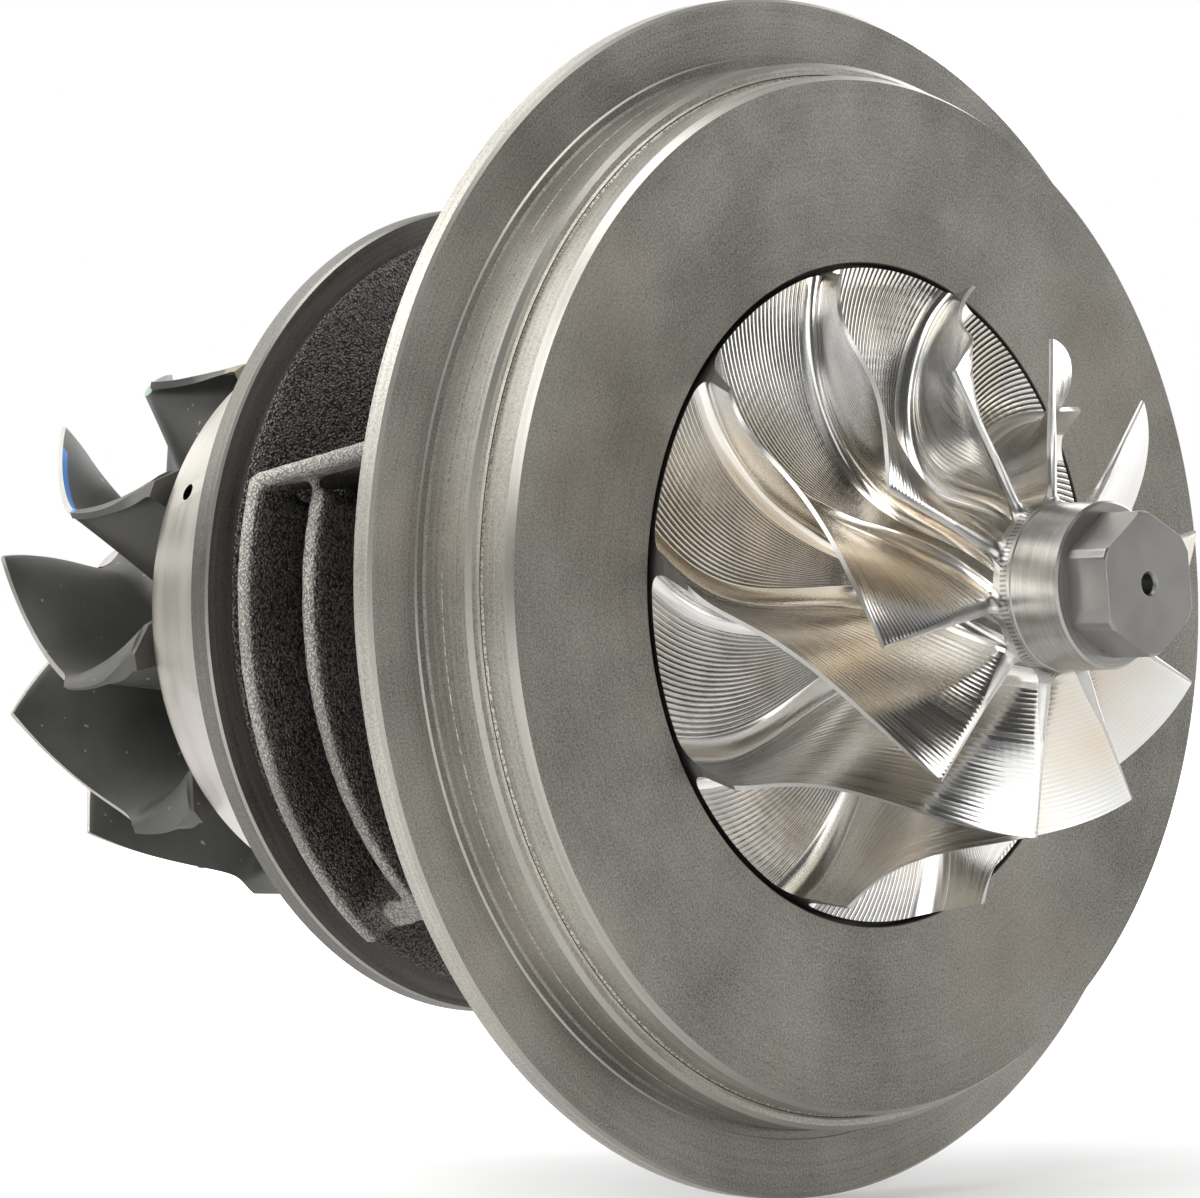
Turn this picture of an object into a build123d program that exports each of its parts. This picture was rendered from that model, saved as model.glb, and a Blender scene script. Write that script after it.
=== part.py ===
from build123d import *
import math
import os

# Turbocharger cartridge: bearing housing, rotor, bearings and seals.
# Millimetres. X runs along the shaft, positive towards the compressor wheel.
# The origin is on the shaft axis, in the front face of the large flange. Z is up.

# Large flange and compressor-side spigot
FLANGE_R = 91.0
FLANGE_THICK = 3.6
FLANGE_FOOT_THICK = 6.0
LAND_R = 80.45
FLANGE_FOOT_R = LAND_R + 0.05
LAND_LENGTH = 8.5
LAND_CHAMFER = 0.7
GROOVE_DEPTH = 3.0
GROOVE_WIDTH = 0.5
SPIGOT_STEP = 2.35
SPIGOT_R = LAND_R - SPIGOT_STEP
SPIGOT_LENGTH = 14.0
FRONT_FACE_X = 15.3
FRONT_FACE_R = SPIGOT_R - 0.75
WHEEL_R = 49.1
WHEEL_TIP_GAP = 0.9
WHEEL_RECESS_R = WHEEL_R + WHEEL_TIP_GAP
WHEEL_RECESS_X = 12.0

# Turbine-side V-band flange
TURBINE_FLANGE_R = 63.75
TURBINE_FLANGE_BACK_X = -67.5
TURBINE_FLANGE_RIM = 3.8
TURBINE_CONE_HEIGHT = 4.55
TURBINE_CONE_ROOT_R = TURBINE_FLANGE_R - TURBINE_CONE_HEIGHT
TURBINE_CONE_DEG = 18.0
SHIELD_SEAT_MARGIN = 2.75
SHIELD_SEAT_R = TURBINE_FLANGE_R - SHIELD_SEAT_MARGIN
SHIELD_SEAT_DEPTH = 1.1

# Cast body between the flanges
CORE_R = 38.0
SNOUT_END_X = -97.0
SNOUT_END_R = 29.0
SNOUT_ROOT_R = 46.0
WEB_ROOT_X = -57.5
BELL_ROOT_X = -22.0
BELL_R = 54.0
BELL_X = -7.5
CAST_FILLET = 5.0

# Ribs and shelves on both flanks of the cast body
RIB_END_X = -57.1
RIB_THICK = 3.3
RIB_PITCH = 10.05
RIB_OUTER_R = 64.4
RIB_INNER_R = 60.5
VALLEY_R = 46.0
RIB_ROUND = 1.4
RIB_TOP_DEG = 19.0
RIB_BOTTOM_DEG = -52.0
SHELF_THICK = 2.7
SHELF_ROUND = 0.4 * SHELF_THICK
SHELF_LIFT = 0.9
SHELF_RISE_DEG = 9.0
SHELF_OUTER_Y = 61.0
END_WALL_DEG = 5.0

# Oil feed pad on top and oil drain pad underneath
FEED_X = -34.0
FEED_PAD_Z = 62.0
FEED_PAD_LENGTH_X = 22.0
FEED_PAD_LENGTH_Y = 46.0
FEED_BORE_R = 5.0
FEED_BORE_DEPTH = 10.0
FEED_DRILL_R = 3.0
FEED_BOLT_SPACING = 30.0
FEED_BOLT_R = 3.4
FEED_BOLT_DEPTH = 14.0
DRAIN_X = -24.0
DRAIN_PAD_Z = -60.0
DRAIN_PAD_LENGTH_X = 35.0
DRAIN_PAD_LENGTH_Y = 52.0
DRAIN_BORE_R = 10.5
DRAIN_BORE_LENGTH = 12.0
DRAIN_BOLT_SPACING = 38.0
DRAIN_BOLT_R = 3.4
DRAIN_BOLT_DEPTH = 14.0
SUMP_HALF_WIDTH = 14.0
SUMP_BACK_X = -40.0
SUMP_FRONT_X = -12.0
SUMP_TOP_Z = -17.0
DRAIN_SLOT_HALF_WIDTH = 9.0
DRAIN_SLOT_TOP_Z = -18.0
DRAIN_SLOT_BOTTOM_Z = -31.0
BEARING_TUBE_R = 19.0
GALLERY_Z = 22.5
GALLERY_R = 2.2
GALLERY_END_X = -76.0
FEED_DROP_R = 2.0

# Shaft, floating bushes and their retaining rings
JOURNAL_R = 8.5
JOURNAL_CLEARANCE = 0.04
BUSH_R = 13.0
BUSH_CLEARANCE = 0.06
BUSH_LENGTH = 14.0
BUSH_TURBINE_X = -71.5
BUSH_COMPRESSOR_X = -32.0
BUSH_HOLE_COUNT = 6
BUSH_HOLE_R = 1.3
BUSH_END_PLAY = 0.3
BUSH_CHAMFER = 0.6
RING_THICK = 1.2
RING_GROOVE_PLAY = 0.1
RING_GROOVE_DEPTH = 1.3
RING_GROOVE_R = BUSH_R + RING_GROOVE_DEPTH
RING_INNER_R = BUSH_R - 2.2
RING_GAP_DEG = 50.0
SHAFT_RELIEF_R = 7.8
SHAFT_RELIEF_MARGIN = 2.0
STUB_R = 6.5
STUB_FIT = 0.02
THREAD_R = 4.95
THREAD_FIT = 0.05
THREAD_HOLE_R = THREAD_R + THREAD_FIT
THREAD_END_X = 27.0
PILOT_END_X = 11.0

# Housing bores at the turbine end
TURBINE_CHAMBER_R = 24.0
TURBINE_CHAMBER_BACK_X = -86.0
TURBINE_CHAMBER_FRONT_X = -82.0
TURBINE_SEAL_BORE_R = 15.3
SEAL_GAP = 0.3
TURBINE_BOSS_R = TURBINE_SEAL_BORE_R - SEAL_GAP

# Thrust bearing group
POCKET_R = 34.0
POCKET_FLOOR_X = -16.0
COLLAR_R = 17.5
COLLAR_GAP = 1.0
COLLAR_RECESS_R = COLLAR_R + COLLAR_GAP
COLLAR_RECESS_X = -22.0
THRUST_THICK = 6.0
THRUST_PLATE_R = POCKET_R - 0.3
COLLAR_SLEEVE_R = 11.5
THRUST_BORE_R = COLLAR_SLEEVE_R + 0.4
THRUST_PLAY = 0.1
PAD_COUNT = 6
PAD_GROOVE_DEPTH = 0.6
PAD_GROOVE_WIDTH = 2.4
COLLAR_THICK = 4.5
THRUST_NOTCH_HALF_WIDTH = 9.0
THRUST_NOTCH_TOP_Z = -20.5
THRUST_DRILL_R = 1.2
FLINGER_DISC_THICK = 3.0
SEAL_BORE_R = 12.25
FLINGER_SLEEVE_R = SEAL_BORE_R - SEAL_GAP
FIXING_CIRCLE_R = 27.0
SCREW_ANGLES = (45.0, 180.0, 315.0)
PIN_ANGLES = (0.0, 225.0)
SCREW_SHANK_R = 2.45
SCREW_HEAD_R = 4.5
SCREW_LENGTH = 14.0
SCREW_FIT = 0.05
SCREW_SOCKET_R = 1.5
SCREW_SOCKET_DEPTH = 1.5
PIN_R = 2.0
PIN_FIT = 0.02
PIN_LENGTH = 11.0

# Oil deflector and compressor-side seal plate
DEFLECTOR_THICK = 1.0
DEFLECTOR_FACE_X = -5.4
DEFLECTOR_BORE_R = SEAL_BORE_R + 0.75
DEFLECTOR_RIM_R = POCKET_R - 0.4
SEAL_POCKET_R = 40.0
SEAL_PLATE_FIT = 0.05
SEAL_PLATE_R = SEAL_POCKET_R - SEAL_PLATE_FIT
SEAL_SEAT_X = 1.0
SEAL_FACE_X = 8.0
SEAL_BOSS_R = 17.0
SEAL_BOSS_BACK_X = -1.5
SEAL_FRONT_RECESS_R = 16.0
SEAL_FRONT_RECESS = 0.7
SEAL_WEB_THICK = 4.8
SEAL_SKIRT_THICK = 2.4
O_RING_R = 1.3
O_RING_GROOVE_WIDTH = 3.2
O_RING_GROOVE_R = SEAL_PLATE_R - 2 * O_RING_R - 0.15
O_RING_X = 4.5
SNAP_RING_THICK = 1.6
SNAP_RING_GROOVE_DEPTH = 2.2
SNAP_RING_GROOVE_R = SEAL_POCKET_R + SNAP_RING_GROOVE_DEPTH
SNAP_RING_R = SNAP_RING_GROOVE_R - 0.2
SNAP_RING_INNER_R = SEAL_POCKET_R - 3.0
SNAP_RING_GAP_DEG = 18.0

# Piston ring seals
PISTON_RING_WIDTH = 1.6
PISTON_RING_SIDE_PLAY = 0.1
PISTON_RING_DEPTH = 2.2
PISTON_GROOVE_CLEARANCE = 0.5
PISTON_RING_GAP_DEG = 3.0
TURBINE_RING_XS = (-95.0, -91.0)
COMPRESSOR_RING_XS = (1.4, 4.9)

# Heat shield
SHIELD_THICK = 1.0
SHIELD_LIP_CLEARANCE = 0.2
SHIELD_LIP_WIDTH = 3.0
SHIELD_LIP_R = SHIELD_SEAT_R - SHIELD_LIP_CLEARANCE
SHIELD_CONE_R = SHIELD_LIP_R - SHIELD_LIP_WIDTH
SHIELD_END_X = -99.8
SHIELD_CONE_DROP = 14.6
SHIELD_END_R = SHIELD_CONE_R - SHIELD_CONE_DROP
SHIELD_HOLE_R = TURBINE_BOSS_R + 2.0
SHIELD_CORNER_R = 5.5
SHIELD_VENT_R = 1.35
SHIELD_VENT_X = -88.4
SHIELD_VENT_DEG = 24.8

# Compressor wheel
BLADE_COUNT = 10
WHEEL_RIM_X = 15.45
WHEEL_RIM_THICK = 1.85
WHEEL_BACK_INNER_X = 12.2
WHEEL_BACK_INNER_R = 24.0
WHEEL_BOSS_R = 15.0
WHEEL_BOSS_X = 8.0
WHEEL_HOLE_END_X = 30.0
INLET_HUB_X = 49.0
INLET_HUB_R = 12.5
NOSE_END_X = 60.8
NOSE_R = INLET_HUB_R - 0.24
HEX_END_X = 68.0
HEX_ACROSS_FLATS = 19.0
HEX_CORNER_R = 10.6
HEX_TURN_DEG = 3.5
CENTRE_HOLE_R = 1.5
CENTRE_HOLE_DEPTH = 4.0
HUB_BEZIER = ((INLET_HUB_X, INLET_HUB_R), (26.8, INLET_HUB_R), (WHEEL_RIM_X, 13.0), (WHEEL_RIM_X, WHEEL_R))
SHROUD_BEZIER = ((48.0, 36.75), (42.5, 36.75), (22.6, 36.5), (22.6, WHEEL_R))
HUB_WRAP_DEG = (-9.8, 19.9, 29.0, 32.0, 43.4)
SHROUD_WRAP_DEG = (-11.7, 7.1, 22.3, 31.5, 38.3)
COMPRESSOR_ROOT_THICK = 2.1
COMPRESSOR_TIP_THICK = 0.7
COMPRESSOR_EMBED = 1.0
COMPRESSOR_STATIONS = 8

# Turbine wheel
TURBINE_BACK_X = -100.9
TURBINE_DISC_R = 28.0
TURBINE_BOSS_FRONT_X = -84.0
TURBINE_BOSS_FRONT_R = 11.0
TURBINE_BOSS_SHOULDER_X = -88.0
TURBINE_EXIT_X = -146.0
TURBINE_EXIT_R = 13.7
TURBINE_NOSE_X = -150.0
TURBINE_NOSE_CHAMFER = 1.6
TURBINE_HUB_BEZIER = ((-102.0, 44.9), (-102.0, 22.0), (-113.0, 14.2), (TURBINE_EXIT_X, TURBINE_EXIT_R))
TURBINE_SHROUD_BEZIER = ((-119.1, 44.8), (-120.6, 41.8), (-127.0, 40.6), (-138.0, 41.2))
TURBINE_HUB_WRAP_DEG = (-7.6, -11.7, -30.0, -3.6, 35.0)
TURBINE_SHROUD_WRAP_DEG = (-12.7, -10.9, -8.0, 0.9, 16.2)
TURBINE_ROOT_THICK = 3.2
TURBINE_TIP_THICK = 1.2
TURBINE_EMBED = 1.0
TURBINE_STATIONS = 12

MARGIN = 1.0


def turned(points):
    """A solid of revolution about the shaft axis from (x, radius) points."""
    return revolve(Polygon(*points, align=None), Axis.X, 360)


def disc(start_x, end_x, radius):
    """A plain cylinder along the shaft axis."""
    return turned([(start_x, 0), (end_x, 0), (end_x, radius), (start_x, radius)])


def washer(start_x, end_x, inner_r, outer_r):
    """A flat ring around the shaft axis."""
    return turned([(start_x, inner_r), (end_x, inner_r), (end_x, outer_r), (start_x, outer_r)])


def block(x_range, y_range, z_range):
    """A rectangular block between two limits on each axis."""
    size = [high - low for low, high in (x_range, y_range, z_range)]
    centre = [(high + low) / 2 for low, high in (x_range, y_range, z_range)]
    return Pos(*centre) * Box(*size)


def vertical_drill(x, y, low_z, high_z, radius):
    """A drill along Z at one place."""
    return Pos(x, y, (low_z + high_z) / 2) * Cylinder(radius, high_z - low_z)


def axial_drill(y, z, start_x, end_x, radius):
    """A drill along the shaft direction at one place."""
    return Pos((start_x + end_x) / 2, y, z) * Rot(Y=90) * Cylinder(radius, end_x - start_x)


def on_circle(radius, degrees):
    """The (y, z) position on a circle around the shaft, from +Y towards +Z."""
    angle = math.radians(degrees)
    return radius * math.cos(angle), radius * math.sin(angle)


def gap_wedge(start_x, end_x, reach, degrees):
    """A wedge around -Z that opens a split ring."""
    half = math.radians(degrees / 2)
    corner = reach / math.cos(half)
    points = [(0, 0), (-corner * math.sin(half), -corner * math.cos(half)),
              (corner * math.sin(half), -corner * math.cos(half))]
    face = Plane.YZ.offset(start_x) * Polygon(*points, align=None)
    return extrude(face, end_x - start_x, dir=(1, 0, 0))


def split_ring(start_x, end_x, inner_r, outer_r, gap_deg):
    """A ring cut open at its lowest point."""
    return washer(start_x, end_x, inner_r, outer_r) - gap_wedge(start_x - MARGIN, end_x + MARGIN,
                                                                outer_r + MARGIN, gap_deg)


# Blade geometry
def bezier_point(control, t):
    """A point of a cubic curve in the (x, radius) plane."""
    weights = ((1 - t) ** 3, 3 * t * (1 - t) ** 2, 3 * t * t * (1 - t), t ** 3)
    x = sum(weight * point[0] for weight, point in zip(weights, control))
    radius = sum(weight * point[1] for weight, point in zip(weights, control))
    return x, radius


def bezier_inward(control, t):
    """The unit normal of a meridian curve that points into the hub."""
    step = 0.001
    x0, r0 = bezier_point(control, max(t - step, 0))
    x1, r1 = bezier_point(control, min(t + step, 1))
    length = math.hypot(x1 - x0, r1 - r0)
    return -(r1 - r0) / length, (x1 - x0) / length


def wrap_angle(values, t):
    """The smooth curve through evenly spaced wrap angles."""
    count = len(values)
    total = 0.0
    for i in range(count):
        weight = 1.0
        for j in range(count):
            if j != i:
                weight *= (t * (count - 1) - j) / (i - j)
        total += weight * values[i]
    return total


def around_shaft(x, radius, degrees):
    """A point from its axial place, radius and angle, measured from -Y towards +Z."""
    angle = math.radians(degrees)
    return Vector(x, -radius * math.cos(angle), radius * math.sin(angle))


def blade(hub, shroud, hub_wrap, shroud_wrap, root_thick, tip_thick, embed, stations):
    """One blade: a loft through flat tapered sections from inlet to outlet."""
    def point(control, wrap, t, depth=0.0):
        x, radius = bezier_point(control, t)
        normal_x, normal_r = bezier_inward(control, t)
        return around_shaft(x + normal_x * depth, radius + normal_r * depth, wrap_angle(wrap, t))

    sections = []
    step = 0.01
    for i in range(stations):
        t = i / (stations - 1)
        root = point(hub, hub_wrap, t, embed)
        tip = point(shroud, shroud_wrap, t)
        before, after = max(t - step, 0), min(t + step, 1)
        ahead = (point(hub, hub_wrap, after) + point(shroud, shroud_wrap, after)) * 0.5
        behind = (point(hub, hub_wrap, before) + point(shroud, shroud_wrap, before)) * 0.5
        side = (tip - root).cross(ahead - behind).normalized()
        corners = [root - side * (root_thick / 2), tip - side * (tip_thick / 2),
                   tip + side * (tip_thick / 2), root + side * (root_thick / 2)]
        sections.append(Wire.make_polygon(corners, close=True))
    return Solid.make_loft(sections)


def ring_of_blades(hub_body, single, count):
    """The hub with evenly spaced copies of one blade fused to it."""
    copies = [Rot(X=360 * i / count) * single for i in range(count)]
    return hub_body.fuse(*copies)


def compressor_hub():
    """The solid of revolution under the compressor blades, with its back boss."""
    back_x = WHEEL_RIM_X - WHEEL_RIM_THICK
    with BuildLine() as outline:
        Bezier(*HUB_BEZIER)
        Polyline((WHEEL_RIM_X, WHEEL_R), (back_x, WHEEL_R),
                 (WHEEL_BACK_INNER_X, WHEEL_BACK_INNER_R), (WHEEL_BACK_INNER_X - MARGIN, WHEEL_BOSS_R),
                 (WHEEL_BOSS_X, WHEEL_BOSS_R), (WHEEL_BOSS_X, 0), (NOSE_END_X, 0),
                 (NOSE_END_X, NOSE_R), (INLET_HUB_X, INLET_HUB_R))
    return revolve(make_face(outline.line), Axis.X, 360)


def hex_drive():
    """The integral hexagon with its corners turned down."""
    flats = Plane.YZ.offset(NOSE_END_X) * Rot(Z=HEX_TURN_DEG) * RegularPolygon(
        HEX_ACROSS_FLATS / 2, 6, major_radius=False)
    return extrude(flats, HEX_END_X - NOSE_END_X, dir=(1, 0, 0)) & disc(NOSE_END_X, HEX_END_X, HEX_CORNER_R)


def compressor_wheel():
    """Ten full blades on a boreless hub with a threaded blind hole at the back."""
    single = blade(HUB_BEZIER, SHROUD_BEZIER, HUB_WRAP_DEG, SHROUD_WRAP_DEG, COMPRESSOR_ROOT_THICK,
                   COMPRESSOR_TIP_THICK, COMPRESSOR_EMBED, COMPRESSOR_STATIONS)
    wheel = ring_of_blades(compressor_hub() + hex_drive(), single, BLADE_COUNT)
    wheel = wheel - disc(WHEEL_BOSS_X - MARGIN, WHEEL_HOLE_END_X, THREAD_HOLE_R)
    wheel = wheel - disc(WHEEL_BOSS_X - MARGIN, PILOT_END_X, STUB_R + STUB_FIT)
    return wheel - disc(HEX_END_X - CENTRE_HOLE_DEPTH, HEX_END_X + MARGIN, CENTRE_HOLE_R)


def turbine_hub():
    """The scalloped disc, hub and seal boss of the turbine wheel."""
    samples = [bezier_point(TURBINE_HUB_BEZIER, i / 20) for i in range(21)]
    flow_side = [point for point in samples if point[1] < TURBINE_DISC_R]
    with BuildLine() as outline:
        Spline(*flow_side)
        Polyline(flow_side[-1], (TURBINE_NOSE_X + TURBINE_NOSE_CHAMFER, TURBINE_EXIT_R),
                 (TURBINE_NOSE_X, TURBINE_EXIT_R - TURBINE_NOSE_CHAMFER), (TURBINE_NOSE_X, 0),
                 (TURBINE_BOSS_FRONT_X, 0),
                 (TURBINE_BOSS_FRONT_X, TURBINE_BOSS_FRONT_R), (TURBINE_BOSS_SHOULDER_X, TURBINE_BOSS_R),
                 (TURBINE_BACK_X, TURBINE_BOSS_R), (TURBINE_BACK_X, TURBINE_DISC_R),
                 (flow_side[0][0], TURBINE_DISC_R), flow_side[0])
    return revolve(make_face(outline.line), Axis.X, 360)


def piston_groove(centre_x, surface_r):
    """The groove that a piston ring seal runs in."""
    half = PISTON_RING_WIDTH / 2 + PISTON_RING_SIDE_PLAY
    depth = PISTON_RING_DEPTH + PISTON_GROOVE_CLEARANCE
    return washer(centre_x - half, centre_x + half, surface_r - depth, surface_r + MARGIN)


def turbine_wheel():
    """Ten radial-inflow blades on a scalloped hub."""
    single = blade(TURBINE_HUB_BEZIER, TURBINE_SHROUD_BEZIER, TURBINE_HUB_WRAP_DEG,
                   TURBINE_SHROUD_WRAP_DEG, TURBINE_ROOT_THICK, TURBINE_TIP_THICK, TURBINE_EMBED,
                   TURBINE_STATIONS)
    wheel = ring_of_blades(turbine_hub(), single, BLADE_COUNT)
    for centre_x in TURBINE_RING_XS:
        wheel = wheel - piston_groove(centre_x, TURBINE_BOSS_R)
    return wheel


# Rotor and bearings
def rotor_shaft():
    """The stepped shaft from the turbine weld to the thread in the compressor wheel."""
    shoulder_x = POCKET_FLOOR_X - THRUST_PLAY - COLLAR_THICK
    relief_back = BUSH_TURBINE_X + BUSH_LENGTH / 2 + SHAFT_RELIEF_MARGIN
    relief_front = BUSH_COMPRESSOR_X - BUSH_LENGTH / 2 - SHAFT_RELIEF_MARGIN
    return turned([
        (TURBINE_BOSS_FRONT_X, 0), (TURBINE_BOSS_FRONT_X, JOURNAL_R),
        (relief_back, JOURNAL_R), (relief_back + MARGIN, SHAFT_RELIEF_R),
        (relief_front - MARGIN, SHAFT_RELIEF_R), (relief_front, JOURNAL_R),
        (shoulder_x, JOURNAL_R), (shoulder_x, STUB_R), (PILOT_END_X, STUB_R),
        (PILOT_END_X, THREAD_R), (THREAD_END_X, THREAD_R), (THREAD_END_X, 0)])


def journal_bush(centre_x):
    """A fully floating bush with a ring of radial oil holes."""
    start, end = centre_x - BUSH_LENGTH / 2, centre_x + BUSH_LENGTH / 2
    bore_r = JOURNAL_R + JOURNAL_CLEARANCE
    bush = turned([(start, bore_r), (start, BUSH_R - BUSH_CHAMFER), (start + BUSH_CHAMFER, BUSH_R),
                   (end - BUSH_CHAMFER, BUSH_R), (end, BUSH_R - BUSH_CHAMFER), (end, bore_r)])
    for i in range(BUSH_HOLE_COUNT):
        hole = Rot(X=360 * i / BUSH_HOLE_COUNT) * vertical_drill(centre_x, 0, 0, BUSH_R + MARGIN, BUSH_HOLE_R)
        bush = bush - hole
    return bush


def ring_groove_starts():
    """Where each of the four retaining rings begins, from turbine to compressor."""
    starts = []
    for centre_x in (BUSH_TURBINE_X, BUSH_COMPRESSOR_X):
        starts.append(centre_x - BUSH_LENGTH / 2 - BUSH_END_PLAY - RING_THICK)
        starts.append(centre_x + BUSH_LENGTH / 2 + BUSH_END_PLAY)
    return starts


def retaining_ring(start_x):
    """A split ring that keeps one end of a floating bush."""
    outer_r = RING_GROOVE_R - RING_GROOVE_PLAY
    return split_ring(start_x, start_x + RING_THICK, RING_INNER_R, outer_r, RING_GAP_DEG)


# Thrust bearing group
def thrust_faces():
    """The back and front faces of the fixed thrust plate."""
    return POCKET_FLOOR_X, POCKET_FLOOR_X + THRUST_THICK


def thrust_collar():
    """The inner rotating thrust face with its spacer sleeve."""
    back, front = thrust_faces()
    disc_front = back - THRUST_PLAY
    return turned([(disc_front - COLLAR_THICK, STUB_R + STUB_FIT), (disc_front - COLLAR_THICK, COLLAR_R),
                   (disc_front, COLLAR_R), (disc_front, COLLAR_SLEEVE_R),
                   (front + THRUST_PLAY, COLLAR_SLEEVE_R), (front + THRUST_PLAY, STUB_R + STUB_FIT)])


def thrust_bearing():
    """The fixed plate with grooved pads on both faces, an oil feed on top and a drain notch below."""
    back, front = thrust_faces()
    plate = washer(back, front, THRUST_BORE_R, THRUST_PLATE_R)
    reach = (COLLAR_R + THRUST_BORE_R) / 2
    for i in range(PAD_COUNT):
        turn = Rot(X=360 * (i + 0.5) / PAD_COUNT)
        for face_x in (back, front):
            groove = block((face_x - PAD_GROOVE_DEPTH, face_x + PAD_GROOVE_DEPTH),
                           (-PAD_GROOVE_WIDTH / 2, PAD_GROOVE_WIDTH / 2),
                           (THRUST_BORE_R - MARGIN, reach + THRUST_BORE_R / 4))
            plate = plate - turn * groove
    for degrees in SCREW_ANGLES:
        plate = plate - screw_shape(degrees, SCREW_FIT)
    for degrees in PIN_ANGLES:
        y, z = on_circle(FIXING_CIRCLE_R, degrees)
        plate = plate - axial_drill(y, z, back - MARGIN, front + MARGIN, PIN_R + PIN_FIT)
    notch = block((back - MARGIN, front + MARGIN), (-THRUST_NOTCH_HALF_WIDTH, THRUST_NOTCH_HALF_WIDTH),
                  (-THRUST_PLATE_R - MARGIN, THRUST_NOTCH_TOP_Z))
    middle_x = (back + front) / 2
    feed = axial_drill(0, GALLERY_Z, back - MARGIN, middle_x, GALLERY_R)
    drill = vertical_drill(middle_x, 0, THRUST_BORE_R - MARGIN, GALLERY_Z, THRUST_DRILL_R)
    return plate - notch - feed - drill


def screw_shape(degrees, grow=0.0):
    """A countersunk screw body along the shaft direction, grown for its hole."""
    front = POCKET_FLOOR_X + THRUST_THICK
    head_depth = SCREW_HEAD_R - SCREW_SHANK_R
    profile = [(front, 0), (front, SCREW_HEAD_R + grow), (front - head_depth, SCREW_SHANK_R + grow),
               (front - SCREW_LENGTH - grow, SCREW_SHANK_R + grow), (front - SCREW_LENGTH - grow, 0)]
    y, z = on_circle(FIXING_CIRCLE_R, degrees)
    return Pos(0, y, z) * turned(profile)


def thrust_bearing_screws():
    """The countersunk screws that hold the thrust plate."""
    front = POCKET_FLOOR_X + THRUST_THICK
    screws = []
    for degrees in SCREW_ANGLES:
        y, z = on_circle(FIXING_CIRCLE_R, degrees)
        socket = Plane.YZ.offset(front - SCREW_SOCKET_DEPTH) * Pos(y, z) * RegularPolygon(SCREW_SOCKET_R, 6)
        cut = extrude(socket, SCREW_SOCKET_DEPTH + MARGIN, dir=(1, 0, 0))
        screws.append(screw_shape(degrees) - cut)
    return Compound(children=screws)


def thrust_bearing_pins():
    """The dowels that place the thrust plate."""
    front = POCKET_FLOOR_X + THRUST_THICK
    pins = []
    for degrees in PIN_ANGLES:
        y, z = on_circle(FIXING_CIRCLE_R, degrees)
        pins.append(axial_drill(y, z, front - PIN_LENGTH, front, PIN_R))
    return Compound(children=pins)


def flinger_sleeve():
    """The outer thrust face, oil flinger and piston ring carrier in one sleeve."""
    back = POCKET_FLOOR_X + THRUST_THICK + THRUST_PLAY
    bore_r = STUB_R + STUB_FIT
    sleeve = turned([(back, bore_r), (back, COLLAR_R), (back + FLINGER_DISC_THICK, COLLAR_R),
                     (back + FLINGER_DISC_THICK, FLINGER_SLEEVE_R), (WHEEL_BOSS_X, FLINGER_SLEEVE_R),
                     (WHEEL_BOSS_X, bore_r)])
    for centre_x in COMPRESSOR_RING_XS:
        sleeve = sleeve - piston_groove(centre_x, FLINGER_SLEEVE_R)
    return sleeve


def oil_deflector():
    """The pressed cup that keeps oil off the compressor seal."""
    rim_back = POCKET_FLOOR_X + THRUST_THICK
    face_back = DEFLECTOR_FACE_X - DEFLECTOR_THICK
    return turned([(face_back, DEFLECTOR_BORE_R), (DEFLECTOR_FACE_X, DEFLECTOR_BORE_R),
                   (DEFLECTOR_FACE_X, DEFLECTOR_RIM_R), (rim_back, DEFLECTOR_RIM_R),
                   (rim_back, DEFLECTOR_RIM_R - DEFLECTOR_THICK), (face_back, DEFLECTOR_RIM_R - DEFLECTOR_THICK)])


def seal_plate():
    """The compressor-side insert that carries the O-ring and the seal bore."""
    skirt_inner = DEFLECTOR_RIM_R - SEAL_SKIRT_THICK
    web_back = SEAL_FACE_X - SEAL_WEB_THICK
    plate = turned([
        (SEAL_FACE_X, SEAL_FRONT_RECESS_R), (SEAL_FACE_X, SEAL_PLATE_R), (SEAL_SEAT_X, SEAL_PLATE_R),
        (SEAL_SEAT_X, DEFLECTOR_RIM_R), (DEFLECTOR_FACE_X, DEFLECTOR_RIM_R), (DEFLECTOR_FACE_X, skirt_inner),
        (web_back, skirt_inner), (web_back, SEAL_BOSS_R), (SEAL_BOSS_BACK_X, SEAL_BOSS_R),
        (SEAL_BOSS_BACK_X, SEAL_BORE_R), (SEAL_FACE_X - SEAL_FRONT_RECESS, SEAL_BORE_R),
        (SEAL_FACE_X - SEAL_FRONT_RECESS, SEAL_FRONT_RECESS_R)])
    half = O_RING_GROOVE_WIDTH / 2
    return plate - washer(O_RING_X - half, O_RING_X + half, O_RING_GROOVE_R, SEAL_PLATE_R + MARGIN)


def seal_plate_o_ring():
    """The O-ring in the rim of the seal plate."""
    centre_r = SEAL_PLATE_R - O_RING_R
    return Pos(O_RING_X, 0, 0) * Rot(Y=90) * Torus(centre_r, O_RING_R)


def seal_plate_snap_ring():
    """The snap ring in front of the seal plate."""
    return split_ring(SEAL_FACE_X, SEAL_FACE_X + SNAP_RING_THICK, SNAP_RING_INNER_R, SNAP_RING_R,
                      SNAP_RING_GAP_DEG)


def piston_ring(centre_x, bore_r):
    """A piston ring seal that grips the fixed bore around it."""
    half = PISTON_RING_WIDTH / 2
    return split_ring(centre_x - half, centre_x + half, bore_r - PISTON_RING_DEPTH, bore_r,
                      PISTON_RING_GAP_DEG)


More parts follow.
